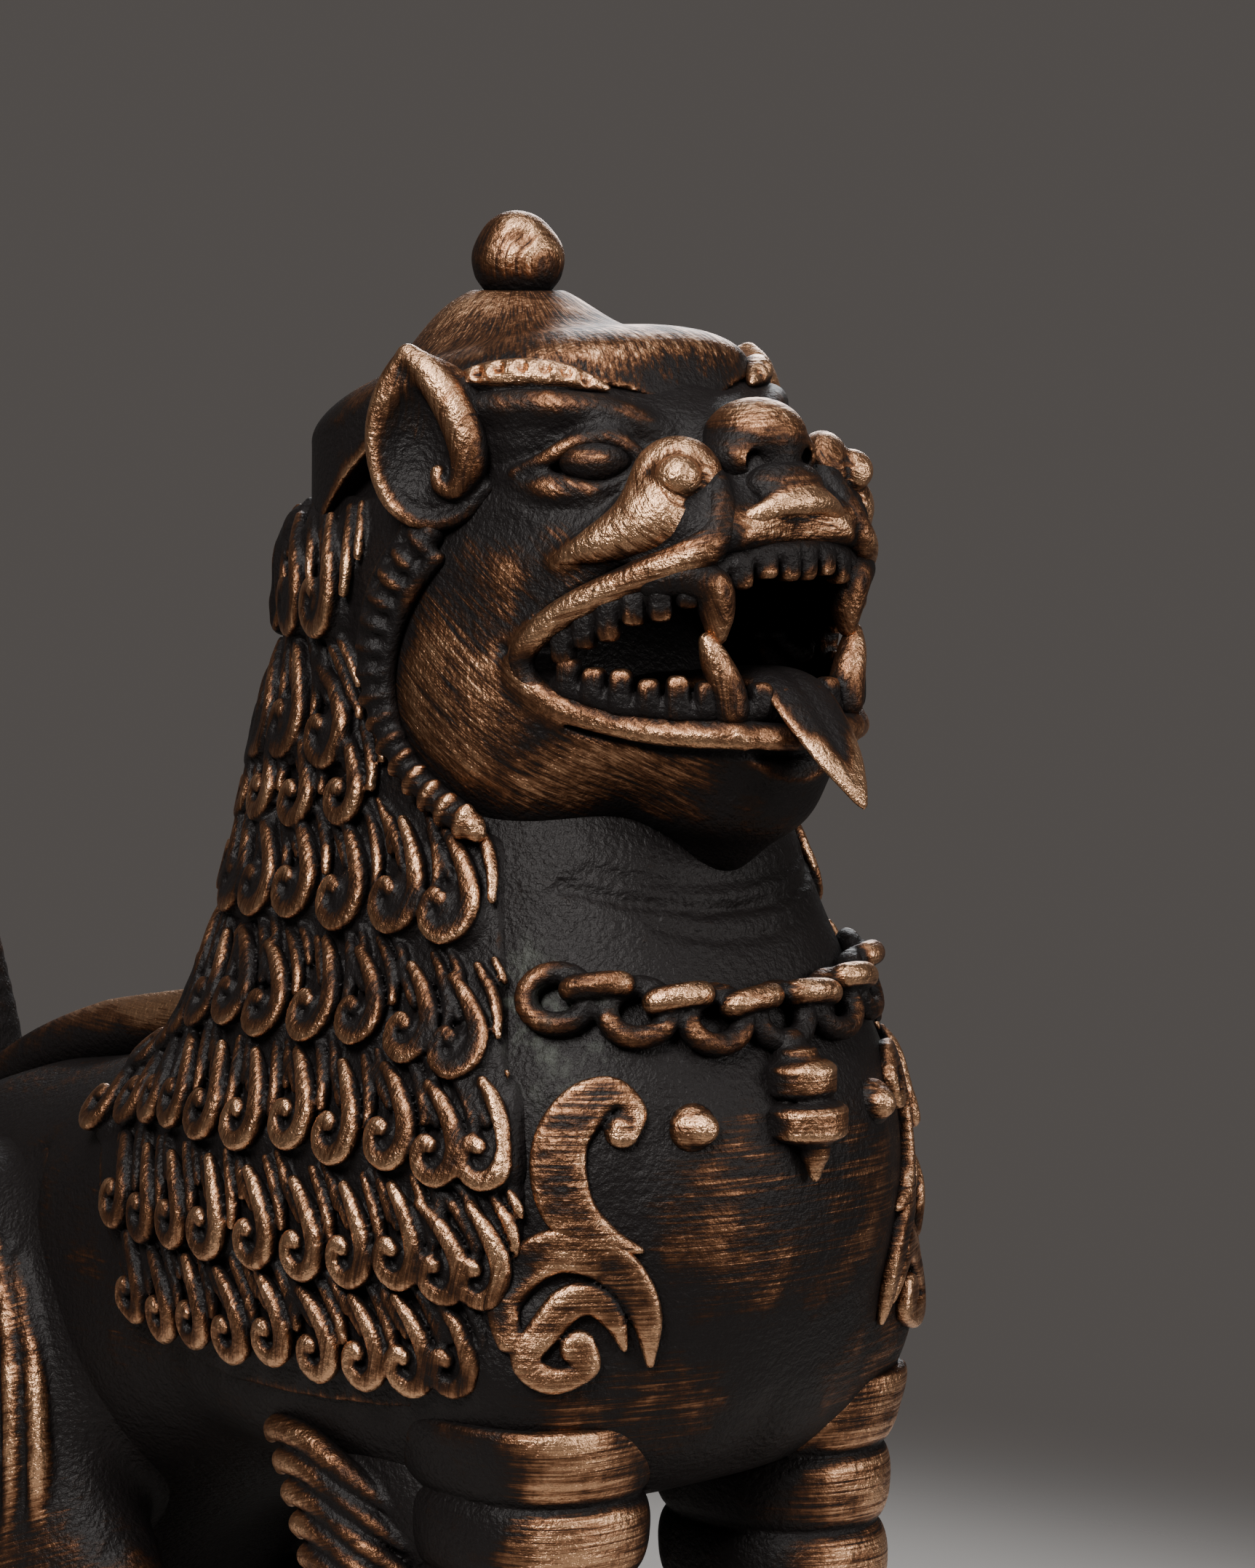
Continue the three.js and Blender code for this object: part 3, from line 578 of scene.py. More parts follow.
def make_whisker_curl():
    clay = Clay((-21, 28, 155), (-3, 52, 178))
    clay.add(whisker_body())
    turns = np.radians(np.linspace(-70, 165, 18))
    ring = [(3.6 + 0.2 * math.cos(a), 3.7 * math.cos(a) + 0.3, 3.6 * math.sin(a) + 0.8, 0.75) for a in turns]
    clay.cut(stroke(fan(WHISKER, WHISKER_AXES, ring)), 0.5)
    clay.add(blob(fan(WHISKER, WHISKER_AXES, [(3.2, 0.4, 0.8)])[0], (2.7, 2.7, 2.5)), 0.2)
    rub = [Rub((-14, 40, 166), (10, 10, 9), 0.75)]
    piece("whisker_curl", clay, POLISHED, pair=True, rub=rub, grain=straight((-0.5, 0.5, -0.6)), tone=-0.16)


def make_nose():
    clay = Clay((-10, 26, 164), (0, 52, 181), half=True)
    clay.add(blob((0, 42.2, 173.4), (5.8, 6.2, 4.7)))
    clay.add(blob((-4.4, 42.8, 171.4), (2.9, 3.9, 2.9)), 1.2)
    clay.add(blob((0, 46, 169.4), (2.6, 2.6, 3)), 1.5)
    clay.cut(blob((-4, 46.6, 171.2), (1.1, 2, 1.1)), 0.4)
    rub = [Rub((0, 43, 177), (6, 7, 3), 0.5)]
    piece("nose", clay, POLISHED, rub=rub, grain=straight((0.2, 1, 0.1)), tone=-0.1)


def make_lips():
    clay = Clay((-28, 20, 134), (3, 56, 172))
    radii = np.interp(np.linspace(0, 1, len(LIP)), *LIP_SHAPE)
    clay.add(stroke(LIP + (0, 0.25, 0), radii))
    clay.right_half()
    rub = [Rub((-18, 38, 157), (12, 14, 8), 0.5)]
    piece("lip", clay, BRUSHED, pair=True, rub=rub, grain=straight((0, 1, 0.3)), tone=-0.06)

    clay = Clay((-13, 40, 158), (0, 56, 171), half=True)
    clay.add(tapering([(-9.8, 45.6, 162.6), (-7, 48.4, 164.6), (-3.4, 50.2, 166.2), (0, 50.6, 166.4)]
                       , 0.9, 1.5))
    clay.add(blob((0, 46.6, 168), (5.4, 4.2, 3.2)), 1.5)
    piece("front_lip", clay, BRUSHED, rub=[Rub((0, 51, 166), (9, 3, 3), 0.55)])


UPPER_GUM = [(-20.4, 31, 151.4), (-18.6, 36.4, 154.6), (-15.6, 41.6, 157), (-11.4, 45.8, 159),
             (-6, 48, 160.6), (0, 48.8, 161.2)]
LOWER_GUM = [(-20.2, 31.4, 145.6), (-18, 36.8, 144.2), (-15, 41.8, 143.4), (-11, 45.8, 143),
             (-5.6, 47.8, 142.8), (0, 48.6, 142.6)]
TOOTH_PITCH = 3.2


def make_teeth(name, gum, way):
    """A gum with block teeth, which stand up from it where way is 1 and down where it is -1."""
    clay = Clay((-24, 26, 138), (0, 53, 166), half=True)
    path = curve(gum, 8)
    clay.add(stroke(path, 1.5))
    row = lengths(path)[-1]
    for along in np.arange(1.4, row, TOOTH_PITCH):
        root = point_along(path, along)
        inwards = np.array([0, 24, root[2]]) - root
        inwards /= np.linalg.norm(inwards)
        axes = np.stack([np.cross(inwards, (0, 0, 1)), inwards, (0, 0, 1)])
        tall = (2.3 if along < row * 0.62 else 1.8) + 0.35 * math.sin(9 * along)
        clay.add(block(root - 0.5 * inwards + (0, 0, way * 1.5), (1.35, 1.4, tall), axes), 0.4)
    clay.keep(lambda x, f, z: mouth(x, f, z) - 0.6)
    piece(name, clay, DARK, grain=UPRIGHT, tone=-0.22)


def make_fang(name, line, low, high, rub_height):
    clay = Clay(low, high)
    clay.add(stroke(curve(line)))
    rub = [Rub((-11, 50, rub_height), (3, 3, 6), 0.2)]
    piece(name, clay, POLISHED, pair=True, rub=rub, grain=UPRIGHT, tone=-0.25)


# Tongue: (forward, half width, half thickness, middle height)
TONGUE = [(12, 6.4, 1.5, 143.4), (30, 6, 1.6, 144.8), (44, 5.2, 1.7, 145.9), (48.5, 5, 1.7, 145),
          (52, 4.8, 1.7, 142), (56, 3.6, 1.6, 137.8), (59, 1.6, 1.2, 134.4), (60.4, 0.4, 0.5, 132.9)]


def tongue(x, f, z):
    half, thick, middle = between(TONGUE, f)
    dip = 0.6 * np.exp(-((x / 1.2) ** 2)) * np.clip((f - 40) / 8, 0, 1)
    d = radial(x, z - middle + 0.4 * dip, half, thick - 0.35 * dip, thick, 1.8)
    return np.maximum(np.maximum(d, TONGUE[0][0] - f), f - TONGUE[-1][0]) * 0.8


def make_mouth():
    make_teeth("upper_teeth", UPPER_GUM, -1)
    make_teeth("lower_teeth", LOWER_GUM, 1)
    upper = [(-15.8, 42.2, 157.8, 1.9), (-13.4, 45, 158.4, 2.3), (-11, 46.6, 157.4, 2.5),
             (-10.2, 46.8, 154.6, 2.1), (-10.2, 46.8, 151.8, 1.2)]
    lower = [(-9, 47.4, 143.4, 2.3), (-9.6, 47.4, 146, 2.1), (-10.8, 47, 149, 1.7), (-11.6, 46.6, 151.2, 1)]
    make_fang("upper_fang", upper, (-20, 38, 146), (-6, 54, 166), 155)
    make_fang("lower_fang", lower, (-18, 42, 138), (-6, 54, 154), 147)

    clay = Clay((-9, 11, 129), (0, 63, 150), half=True)
    clay.add(region((-9, 12, 130), (9, 62, 149), tongue))
    rub = [Rub((-3.4, 58, 134), (3, 6, 6), 0.8)]
    piece("tongue", clay, POLISHED, rub=rub, grain=straight((0, 0.6, -0.8)), tone=-0.3)


def make_eyes_and_brows():
    clay = Clay((-21, 24, 166), (-8, 39, 176))
    clay.add(blob((-14.9, 31.6, 171), (2.6, 4.3, 2.5), turn_matrix(turn=-42)))
    piece("eye", clay, DARK, pair=True, rub=[Rub((-17, 33, 171.6), (2, 2, 0.8), 0.2)], tone=-0.03)

    clay = Clay((-28, 8, 170), (-4, 39, 185))
    clay.add(swelling(BROW, 1, 1.8))
    crest = curve([(-23, 13.6, 179), (-20.2, 19.4, 180.6), (-15.8, 25.4, 180.8), (-11, 29.4, 179.4)], 8)
    size = 0.4 + 1.5 * np.sin(np.linspace(0, np.pi, len(crest))) ** 0.7
    clay.add(stroke(crest, size), 0.8)
    for i in range(3, len(crest) - 3, 3):  # pits along the crest
        out = crest[i] + np.array([-0.75, 0.75, 0.75]) * size[i] * 0.8
        clay.cut(blob(out, (0.75, 0.75, 0.95)), 0.2)
    piece("brow", clay, BRUSHED, pair=True, rub=[Rub((-18, 23, 181.5), (7, 10, 2.5), 0.7)])


def make_ears():
    def lump(place, half):
        return blob(fan(EAR, EAR_AXES, [place])[0], half, EAR_AXES)

    clay = Clay((-34, 0, 160), (-12, 27, 187))
    clay.add(blob((-20.5, 10.5, 171.5), (5.5, 6, 8)))
    clay.add(lump((-0.4, 0, 0), (2.6, 7.6, 9.4)), 2)
    clay.add(lump((-0.4, -2.6, 6), (2, 3.2, 4.8)), 2)
    clay.add(lump((-0.6, -1, 3), (3, 6, 6)), 2)
    clay.cut(lump((3, -1.2, -0.4), (2.9, 4.9, 7.2)), 1.2)
    rim = [(0.7, -2.6, 10, 1.2), (0.8, -5.2, 6.6, 1), (0.9, -6.8, 2.4, 0.9), (0.9, -6.6, -2.4, 0.9),
           (0.9, -4.6, -7, 0.9), (0.9, -0.4, -9.2, 1), (0.8, 4, -8, 1.1), (0.4, 6.8, -5, 1.1)]
    clay.add(stroke(curve(fan(EAR, EAR_AXES, rim))), 0.9)
    fold = [(0.8, -2.6, 10, 1.2), (1.3, -0.2, 8.2, 1.9), (1.5, 2.4, 5.2, 2.3), (1.6, 4.4, 1.4, 2.4),
            (1.6, 5, -2.4, 2.1), (1.6, 3.6, -5, 1.5), (1.6, 1.8, -4.8, 1.2), (1.6, 1.3, -3.4, 1)]
    clay.add(stroke(curve(fan(EAR, EAR_AXES, fold))), 0.5)
    rub = [Rub((-27, 17, 178), (5, 6, 7), 0.35)]
    piece("ear", clay, POLISHED, pair=True, rub=rub, grain=straight((0, 0.3, 1)), tone=-0.08)


# Cap: its rim rises towards the front by CAP_LEAN, and it ends in a flare under the finial
CAP_F, CAP_Z, CAP_LEAN = 2, 176.4, math.radians(13.4)
CAP_RISE = 8
CAP_TOP, FINIAL_FOOT = 190.6, 190.3  # the finial's foot is sunk a little into the cap


def cap_dome(x, f, z):
    ahead = (f - CAP_F) * math.cos(CAP_LEAN) + (z - CAP_Z) * math.sin(CAP_LEAN)
    high = (z - CAP_Z) * math.cos(CAP_LEAN) - (f - CAP_F) * math.sin(CAP_LEAN)
    rim = radial(x, ahead, 22.8, 28.2, 28, 2.35)
    level = np.hypot(x, ahead)
    inset = level / np.maximum(level - rim, 1)
    crown = (np.sqrt(inset**2 + (np.maximum(high, 0) / CAP_RISE) ** 2) - 1) * CAP_RISE
    wall = rim - 0.16 * np.maximum(-high, 0)
    nape = 9 * np.clip((4 - ahead) / 20, 0, 1) ** 1.5
    peak = 4.5 * np.clip(ahead / 24, 0, 1) * np.exp(-((x / 7) ** 2))
    return np.maximum(np.where(high > 0, crown, wall), -high - (2.4 + nape + peak))


def make_cap():
    clay = Clay((-28, -34, 156), (0, 36, 193), half=True).fill(cap_dome)
    flare = [(0, 0, 178, 14), (0, 0, 182, 8.6), (0, 0, 185, 4.8), (0, 0, 188, 3.4), (0, 0, 190.4, 3.5)]
    clay.add(stroke(curve(flare)), 5)
    clay.heights(high=CAP_TOP)
    clay.hollow(head, 1)
    piece("skull_cap", clay, DARK, rub=[Rub((0, 2, 184), (22, 30, 9), 0.78)], grain=downward)

    clay = Clay((-8, -8, 188), (8, 8, 202))
    clay.add(stroke([(0, 0, 190.4, 3.5), (0, 0, 192, 4.4)]))
    clay.add(blob((0, 0, 194.4), (5.6, 5.4, 4.8)), 1.5)
    clay.add(blob((-0.6, 0.2, 197.2), (3.4, 3.4, 2.8)), 1.8)
    clay.cut(blob((-3.6, 4.6, 197.4), (2.2, 1.4, 1.6)), 1)
    clay.heights(low=FINIAL_FOOT)
    rub = [Rub((-1, 3, 196), (5, 6, 4), 0.45)]
    piece("cap_finial", clay, POLISHED, rub=rub, grain=straight((0.1, 0.1, 1)), tone=-0.16)


# ---- Mane ----
BEADS = 15


def make_collar():
    """A beaded band between cheek and mane, with a rail on each side."""
    path = curve([(-25, 14, 162.4), (-26.4, 10.4, 158), (-27, 7.8, 153), (-27.2, 6.6, 147.6),
                  (-27, 7.2, 142.4), (-26.8, 9.6, 138), (-26.4, 13.4, 134.2), (-25.8, 18, 131.2),
                  (-25, 22, 129.4)], 8)
    clay = Clay((-33, 0, 120), (-15, 34, 168))
    clay.add(stroke(path, 1.5))
    length = lengths(path)
    sideways = np.array([-0.95, 0.1, 0])
    for along in np.linspace(1.4, length[-1] - 1, BEADS):
        i = min(np.searchsorted(length, along), len(path) - 1)
        tangent = path[i] - path[i - 1]
        tangent /= np.linalg.norm(tangent)
        out = sideways - np.dot(sideways, tangent) * tangent
        out /= np.linalg.norm(out)
        axes = np.stack([tangent, np.cross(out, tangent), out])
        clay.add(blob(point_along(path, along) + 0.5 * out, (1.15, 2.3, 1.5), axes), 0.3)
    for side in (-2.9, 2.9):
        rail = path + np.array([0, side * 0.75, -side * 0.6]) * np.linspace(1, 0.8, len(path))[:, None]
        clay.add(stroke(rail[2:-2] + (0.3, 0, 0), 1), 0.8)
    piece("mane_collar", clay, DARK, pair=True, rub=[Rub((-27, 18, 131), (4, 12, 6), 0.3)], tone=-0.12)


# (height, forward places of its curls, curl size), top row first
MANE_ROWS = [
    (154, [-14, -4.5], 1.22),
    (138.5, [-21, -12, -3], 1.2),
    (130, [-16, -7.4, 1.6], 0.9),
    (121.5, [-24, -14.6, -5.6, 4.2, 14.4, 23.4], 1.15),
    (107, [-48, -39, -30, -21.2, -12.6, -5, 3.8, 12, 20.8, 28.2], 1.04),
    (93.6, [-45, -36, -27, -18.5, -10.6, -3, 5.4, 13, 21, 28, 34.6], 0.98),
    (80.6, [-31.5, -23.6, -15.4, -7.8, 0.8, 8.6, 16, 23, 29, 34.4], 0.95),
    (69.4, [-27.6, -20.2, -12.4, -5, 2.4, 9.8, 17, 23.6, 29.4], 0.92),
]
NECK_ROWS = 126  # rows above this lie on the narrow neck
NAPE_ROWS, NAPE_TURNS = 105, np.radians([136, 151, 168])  # rows above this go on round the nape
# A lock lying flat: (forward, up, radius) of its curl and strands, and (forward, up, out, radius) of its lobe
CURL = [(-1.9, 7.8, 0.7), (0, 5.6, 1.05), (1.5, 3, 1.25), (2.1, 0.4, 1.3), (1.3, -1.9, 1.3),
        (-0.7, -2.9, 1.2), (-2.5, -1.8, 1.1), (-2.8, 0, 1), (-2, 1.1, 1.1), (-1.1, 0.7, 1)]
STRANDS = [
    [(0.7, 9.2, 0.6), (2.6, 6.4, 0.85), (3.8, 3.6, 0.85), (4.2, 1, 0.6)],
    [(-4, 7.8, 0.6), (-2.2, 5.6, 0.8), (-0.7, 3.2, 0.65)],
    [(2.6, 9.8, 0.5), (4.4, 7.2, 0.75), (5.4, 4.6, 0.55)],
]
LOBE = [(1.2, 5.8, -2.4, 3), (0.4, 1.6, -1.9, 3.6), (0, -0.9, -1.3, 3.9)]
# The mane's outline seen from the side: front seam, hem and back, (forward, height)
MANE_EDGE = [(8, 166), (9.6, 158), (4.4, 150), (3.6, 142), (8, 136), (16, 130.6), (23.5, 127.4),
             (26.5, 117), (30, 107), (33.6, 98), (36.2, 89), (36, 81), (33.6, 72), (30, 64), (18, 62.4),
             (4, 61.6), (-10, 61.6), (-22, 63.6), (-31, 68.6), (-37.5, 77), (-42, 84.6), (-49.6, 91),
             (-54.5, 98.6), (-56, 106), (-52, 114), (-46, 122), (-44, 140), (-44, 166)]


def inside_outline(f, z, outline):
    """Signed distance in the side view to a closed outline, negative inside."""
    p = np.array(outline, float)
    near = np.full(np.broadcast_shapes(f.shape, z.shape), 1e6, np.float32)
    crossings = np.zeros(near.shape, bool)
    for a, b in zip(p, np.roll(p, -1, 0)):
        t = ((f - a[0]) * (b[0] - a[0]) + (z - a[1]) * (b[1] - a[1])) / ((b - a) @ (b - a))
        t = np.clip(t, 0, 1)
        near = np.minimum(near, (f - a[0] - t * (b[0] - a[0])) ** 2 + (z - a[1] - t * (b[1] - a[1])) ** 2)
        if a[1] != b[1]:
            where = a[0] + (z - a[1]) / (b[1] - a[1]) * (b[0] - a[0])
            crossings ^= ((a[1] > z) != (b[1] > z)) & (f < where)
    return np.where(crossings, -1, 1) * np.sqrt(near)


def add_lock(clay, base, size, lean):
    """A rounded lobe on the neck, with a curl and its strands on it."""
    axes = local_axes(body, base)
    clay.add(stroke(fan(base, axes, np.array(LOBE) * (size, size, 1, size))), 0.8)
    for line in (CURL, *STRANDS):
        way = curve(line, 4) * (size, size, 1)
        ahead = way[:, 0] * math.cos(lean) - way[:, 1] * math.sin(lean)
        up = way[:, 0] * math.sin(lean) + way[:, 1] * math.cos(lean)
        flat = base + ahead[:, None] * axes[0] + up[:, None] * axes[1]
        rise = 2.8 - 0.11 * np.clip(up, 0, 9) - (0 if line is CURL else 0.5)
        clay.add(stroke(on_surface(body, flat, rise), way[:, 2]), 0.35)


def make_mane():
    clay = Clay((-46, -60, 58), (0, 40, 170))
    shell = np.maximum(body(clay.x, clay.f, clay.z) - 0.9, inside_outline(clay.f, clay.z, MANE_EDGE))
    clay.d = shell.astype(np.float32)
    rng = np.random.default_rng(5)
    for height, places, size in MANE_ROWS:
        spots = [(-22 if height > NECK_ROWS else -34, f) for f in places]
        if height > NAPE_ROWS:
            spots += [(-34 * math.sin(a), 36 * math.cos(a)) for a in NAPE_TURNS]
        for x, f in spots:
            size_here = size * rng.uniform(0.96, 1.05)
            lean = math.radians(rng.uniform(-10, 8) + 6)
            high = height + rng.uniform(-0.7, 0.7) - 0.035 * max(0, -f - 20)
            add_lock(clay, on_surface(body, [(x, f, high)])[0], size_here, lean)
    clay.keep(lambda x, f, z: body(x, f, z) - 3.8, 0.5)
    clay.keep(lambda x, f, z: inside_outline(f, z, MANE_EDGE) - 1.2, 1)
    clay.right_half()
    clay.hollow(body, 1.2)
    rub = [
        Rub((-37, 12, 82), (10, 26, 22), 0.3),
        Rub((-33, 35, 86), (6, 8, 14), 0.36),
        Rub((-26, 0, 135), (9, 30, 28), 0.28),
    ]
    piece("mane", clay, DARK, pair=True, rub=rub, grain=straight((0, 0.3, 1)), tone=-0.04)


# ---- Body ----
def make_torso():
    clay = Clay((-42, -126, -1), (0, 52, 168), step=COARSE, half=True).fill(chest)
    # Creases of the neck, a full breast and the notch between the forelegs
    for middle, side, drop, r in ((122.6, 17, 1.8, 0.55), (119.4, 19, 3.4, 0.75), (116.2, 12, 2.4, 0.5)):
        line = [(x, middle + drop * (abs(x) / side) ** 2, r) for x in np.linspace(-side, 0, 8)]
        clay.cut(stroke(chest_line(line, 3)), 0.8)
    clay.add(blob((0, 44, 86), (16, 6.5, 15)), 6)
    clay.cut(stroke([(0, 48, 61, 1.2), (0, 42, 51, 4)]), 4)
    for f, deep in ((-62, 1), (-76, 1.3), (-90, 1)):
        ribs = [(-33, f, 84), (-35, f + 4, 74), (-34.6, f + 8, 62)]
        clay.cut(stroke(curve(on_surface(torso, ribs, 0.5)), deep), 2.5)
    rub = [
        Rub((-22, 44, 64), (14, 9, 7), 0.5),
        Rub((-4, 50, 86), (17, 9, 12), 0.5),
        Rub((-36, -30, 70), (8, 26, 16), 0.3),
        Rub((-33, -66, 80), (8, 16, 14), 0.32),
        Rub((0, -84, 90), (20, 40, 10), 0.4),
    ]
    piece("torso_casting", clay, DARK, rub=rub, grain=around(0, 0, 38))


SOLE = 0.2  # the castings stand this far above the floor
FETLOCK = 14  # the rolls on the foreleg stop at this height


def foreleg(x, f, z):
    """The foreleg with a round roll between each two grooves."""
    ring = np.full(z.shape, 9.0, np.float32)
    for level in LEG_GROOVES:
        ring = np.minimum(ring, np.abs(z - level))
    roll = 1.9 * np.sqrt(np.clip(1 - (1 - np.clip(ring / 4.4, 0, 1)) ** 2, 0, 1)) - 1.5
    rolls = np.where(z < FETLOCK, 0, 1)
    return np.maximum(np.maximum(plain_foreleg(x, f, z) - roll * rolls - 0.5, SOLE - z), z - 80)


def toes(clay, place, spread, size, heading=0):
    """Four toes in a fan round a place (x, f), with a claw at each tip."""
    for angle in (-1.5, -0.5, 0.5, 1.5):
        turn = math.radians(heading + angle * spread)
        way = np.array([-math.sin(turn), math.cos(turn), 0])
        back, tip = np.array([*place, 0.0]), np.array([*place, 0.0])
        back += way * size * 0.2
        tip += way * size * (1.85 if abs(angle) < 1 else 1.65)
        back[2], tip[2] = size * 1.05, size * 0.62
        knuckle = 0.5 * (back + tip) + (0, 0, size * 0.32)
        toe = [(*back, size * 0.62), (*knuckle, size * 0.6), (*tip, size * 0.5)]
        clay.add(stroke(curve(toe)), 1)
        claw = tip + way * size * 0.5 - (0, 0, size * 0.32)
        clay.add(stroke([(*tip, size * 0.3), (*claw, 0.5)]), 0.4)


def make_forelegs():
    clay = Clay((-36, 6, -1), (-6, 52, 82)).fill(foreleg)
    toes(clay, (-21, 32), 21, 8.4, heading=4)
    clay.heights(SOLE, 62)
    clay.hollow(torso, 0.6)
    rub = [Rub((-24, 41, 36), (11, 9, 34), 0.7), Rub((-22, 46, 8), (12, 12, 9), 0.45)]
    piece("foreleg", clay, BRUSHED, pair=True, rub=rub, grain=around(-20, 24, 13))


HAUNCH = blob((-31, -82, 42.5), (13.8, 37.5, 38.5))


def haunch_fillet(x, f, z):
    """The torso's side close to the haunch, which fills the corner between them."""
    return np.maximum(torso(x, f, z) + 0.5, HAUNCH.distance(x, f, z) - 7)


def make_hind_legs():
    clay = Clay((-48, -128, -1), (-8, -12, 92), step=COARSE)
    clay.add(HAUNCH)
    clay.add(blob((-30, -60, 22), (11, 26, 21)), 8)
    clay.add(region((-48, -128, 30), (-8, -12, 88), haunch_fillet), 6)
    sole = [(-34, -88, 6, 6), (-34, -66, 7.4, 7.6), (-34, -48, 8.2, 8.6), (-34, -34, 7, 8), (-34, -28, 6, 6)]
    clay.add(stroke(curve(sole)), 4)
    toes(clay, (-34, -34), 18, 7.4)
    # Five ridges down the front of the thigh, and a spiral on its side
    ridge = [(-37, -54, 70), (-40, -48, 60), (-42, -45.5, 46), (-41, -47, 32), (-39, -52, 20)]
    for k in range(5):
        path = curve(np.array(ridge, float) + (0, -4.6 * k, 1.2 * k), 5)
        clay.add(stroke(on_surface(HAUNCH.distance, path, 0.5), 1.6 - 0.1 * k), 0.5)
    turns = np.radians(np.linspace(-60, 480, 26))
    spiral = [(-44, -84 + r * math.cos(a), 42 + r * math.sin(a))
              for r, a in zip(np.linspace(13, 3, 26), turns)]
    clay.add(stroke(on_surface(HAUNCH.distance, spiral, 0.4), np.linspace(0.9, 1.8, 26)), 1.2)
    clay.heights(SOLE)
    clay.hollow(torso, 2.5)
    rub = [
        Rub((-44, -84, 48), (6, 32, 24), 0.6),
        Rub((-41, -54, 46), (7, 14, 26), 0.4),
        Rub((-38, -40, 12), (9, 18, 8), 0.55),
    ]
    piece("hind_leg", clay, BRUSHED, pair=True, rub=rub, grain=straight((0, 1, 0.4)))


def make_elbow_tufts():
    clay = Clay((-40, -14, 34), (-20, 25, 66))
    clay.add(blob((-27.5, 9, 50), (4.6, 12, 10), turn_matrix(tip=-18)))
    for k in range(6):
        start = np.array((-30.2 - 0.3 * k, -10.1 + 2.2 * k, 53.6 - 3.5 * k))
        bends = np.array([(0, 0, 0), (-3.4, 6, 2.6), (-4, 13, 2), (-2.6, 20, -1.8), (0, 25, -5)])
        bends[:, 1] *= 1 - 0.07 * k
        path = curve(start + bends, 5)
        radii = np.interp(np.linspace(0, 1, len(path)), [0, 0.25, 0.7, 1], [0.9, 1.7, 1.7, 1])
        clay.add(stroke(path, radii), 0.3)
    rub = [Rub((-34, -4, 50), (5, 9, 12), 0.3)]
    piece("elbow_tuft", clay, POLISHED, pair=True, rub=rub, grain=straight((0, 1, 0.3)), tone=-0.06)


def make_spine():
    clay = Clay((-8, -124, 72), (0, -46, 106), half=True)
    line = curve([(0, -50, 99), (0, -66, 95.8), (0, -84, 91.6), (0, -100, 86.6), (0, -113, 80.8)], 5)
    clay.add(stroke(line, np.interp(np.linspace(0, 1, len(line)), [0, 0.5, 1], [3, 4.4, 3.4])))
    piece("spine_ridge", clay, BRUSHED, rub=[Rub((0, -74, 98), (5, 40, 6), 0.75)])


# Strands down the back of the tail: (out from the middle, low end, high end, lean, radius)
TAIL_STRANDS = [(0, 30, 112, 0, 2.6), (3.4, 30, 106, 3, 2.3), (7, 34, 96, 4.6, 2.1), (10, 40, 84, 4, 1.9)]
TAIL_CURLS = [(8.6, 52), (10.4, 68), (8.4, 84)]  # (out from the middle, height)


def make_tail():
    clay = Clay((-18, -137, 20), (0, -108, 122), half=True)
    plume = [(0, -119, 26, 5), (0, -124, 44, 8.4), (0, -122.6, 66, 9), (0, -123, 84, 8),
             (0, -124.4, 100, 5.4), (0, -121, 115, 1.8)]
    clay.add(stroke(curve(plume)))
    clay.add(stroke(curve(np.array(plume[1:5]) + (-3.4, 0, 0, -1))), 1)
    for side, low, high, lean, r in TAIL_STRANDS:
        way = []
        for t in np.linspace(0, 1, 9):
            x = -side * math.sin(math.pi * (0.12 + 0.76 * t)) - 0.5
            f = -131.6 + 0.06 * (side**2) + 3 * (2 * t - 1) ** 4 + lean * 0.2
            way.append((x, f, low + t * (high - low), r * (0.4 + 0.6 * math.sin(math.pi * (0.1 + 0.8 * t)))))
        clay.add(stroke(curve(way, 3)), 0.5)
    for side, z in TAIL_CURLS:
        curl = [(-side + r * math.cos(a), -127 - 0.1 * r, z + r * math.sin(a), 1.5)
                for r, a in zip(np.linspace(4.6, 0.6, 14), np.radians(np.linspace(40, 420, 14)))]
        clay.add(stroke(curl), 0.4)
    clay.hollow(torso, 1.5)
    piece("tail", clay, BRUSHED, rub=[Rub((0, -134, 75), (12, 5, 42), 0.5)], grain=UPRIGHT)


PLATE_CORNER = 7


def make_base_plate():
    low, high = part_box("base_plate")
    centre = NECK_AXIS_Y - (low.y + high.y) * 500
    half_x, half_f, top = high.x * 1000, (high.y - low.y) * 500, high.z * 1000

    def plate(x, f, z):
        u = np.abs(x) - half_x + PLATE_CORNER
        v = np.abs(f - centre) - half_f + PLATE_CORNER
        flat = np.hypot(np.maximum(u, 0), np.maximum(v, 0)) - PLATE_CORNER
        return np.maximum(flat, np.maximum(z - top, -z))

    margin = (-half_x - 2, centre - half_f - 2, -2)
    clay = Clay(margin, (0, centre + half_f + 2, top + 3), step=COARSE, half=True).fill(plate)
    piece("base_plate", clay, BRUSHED, rub=[Rub((0, 0, 3), (30, 90, 2), 0.35)])


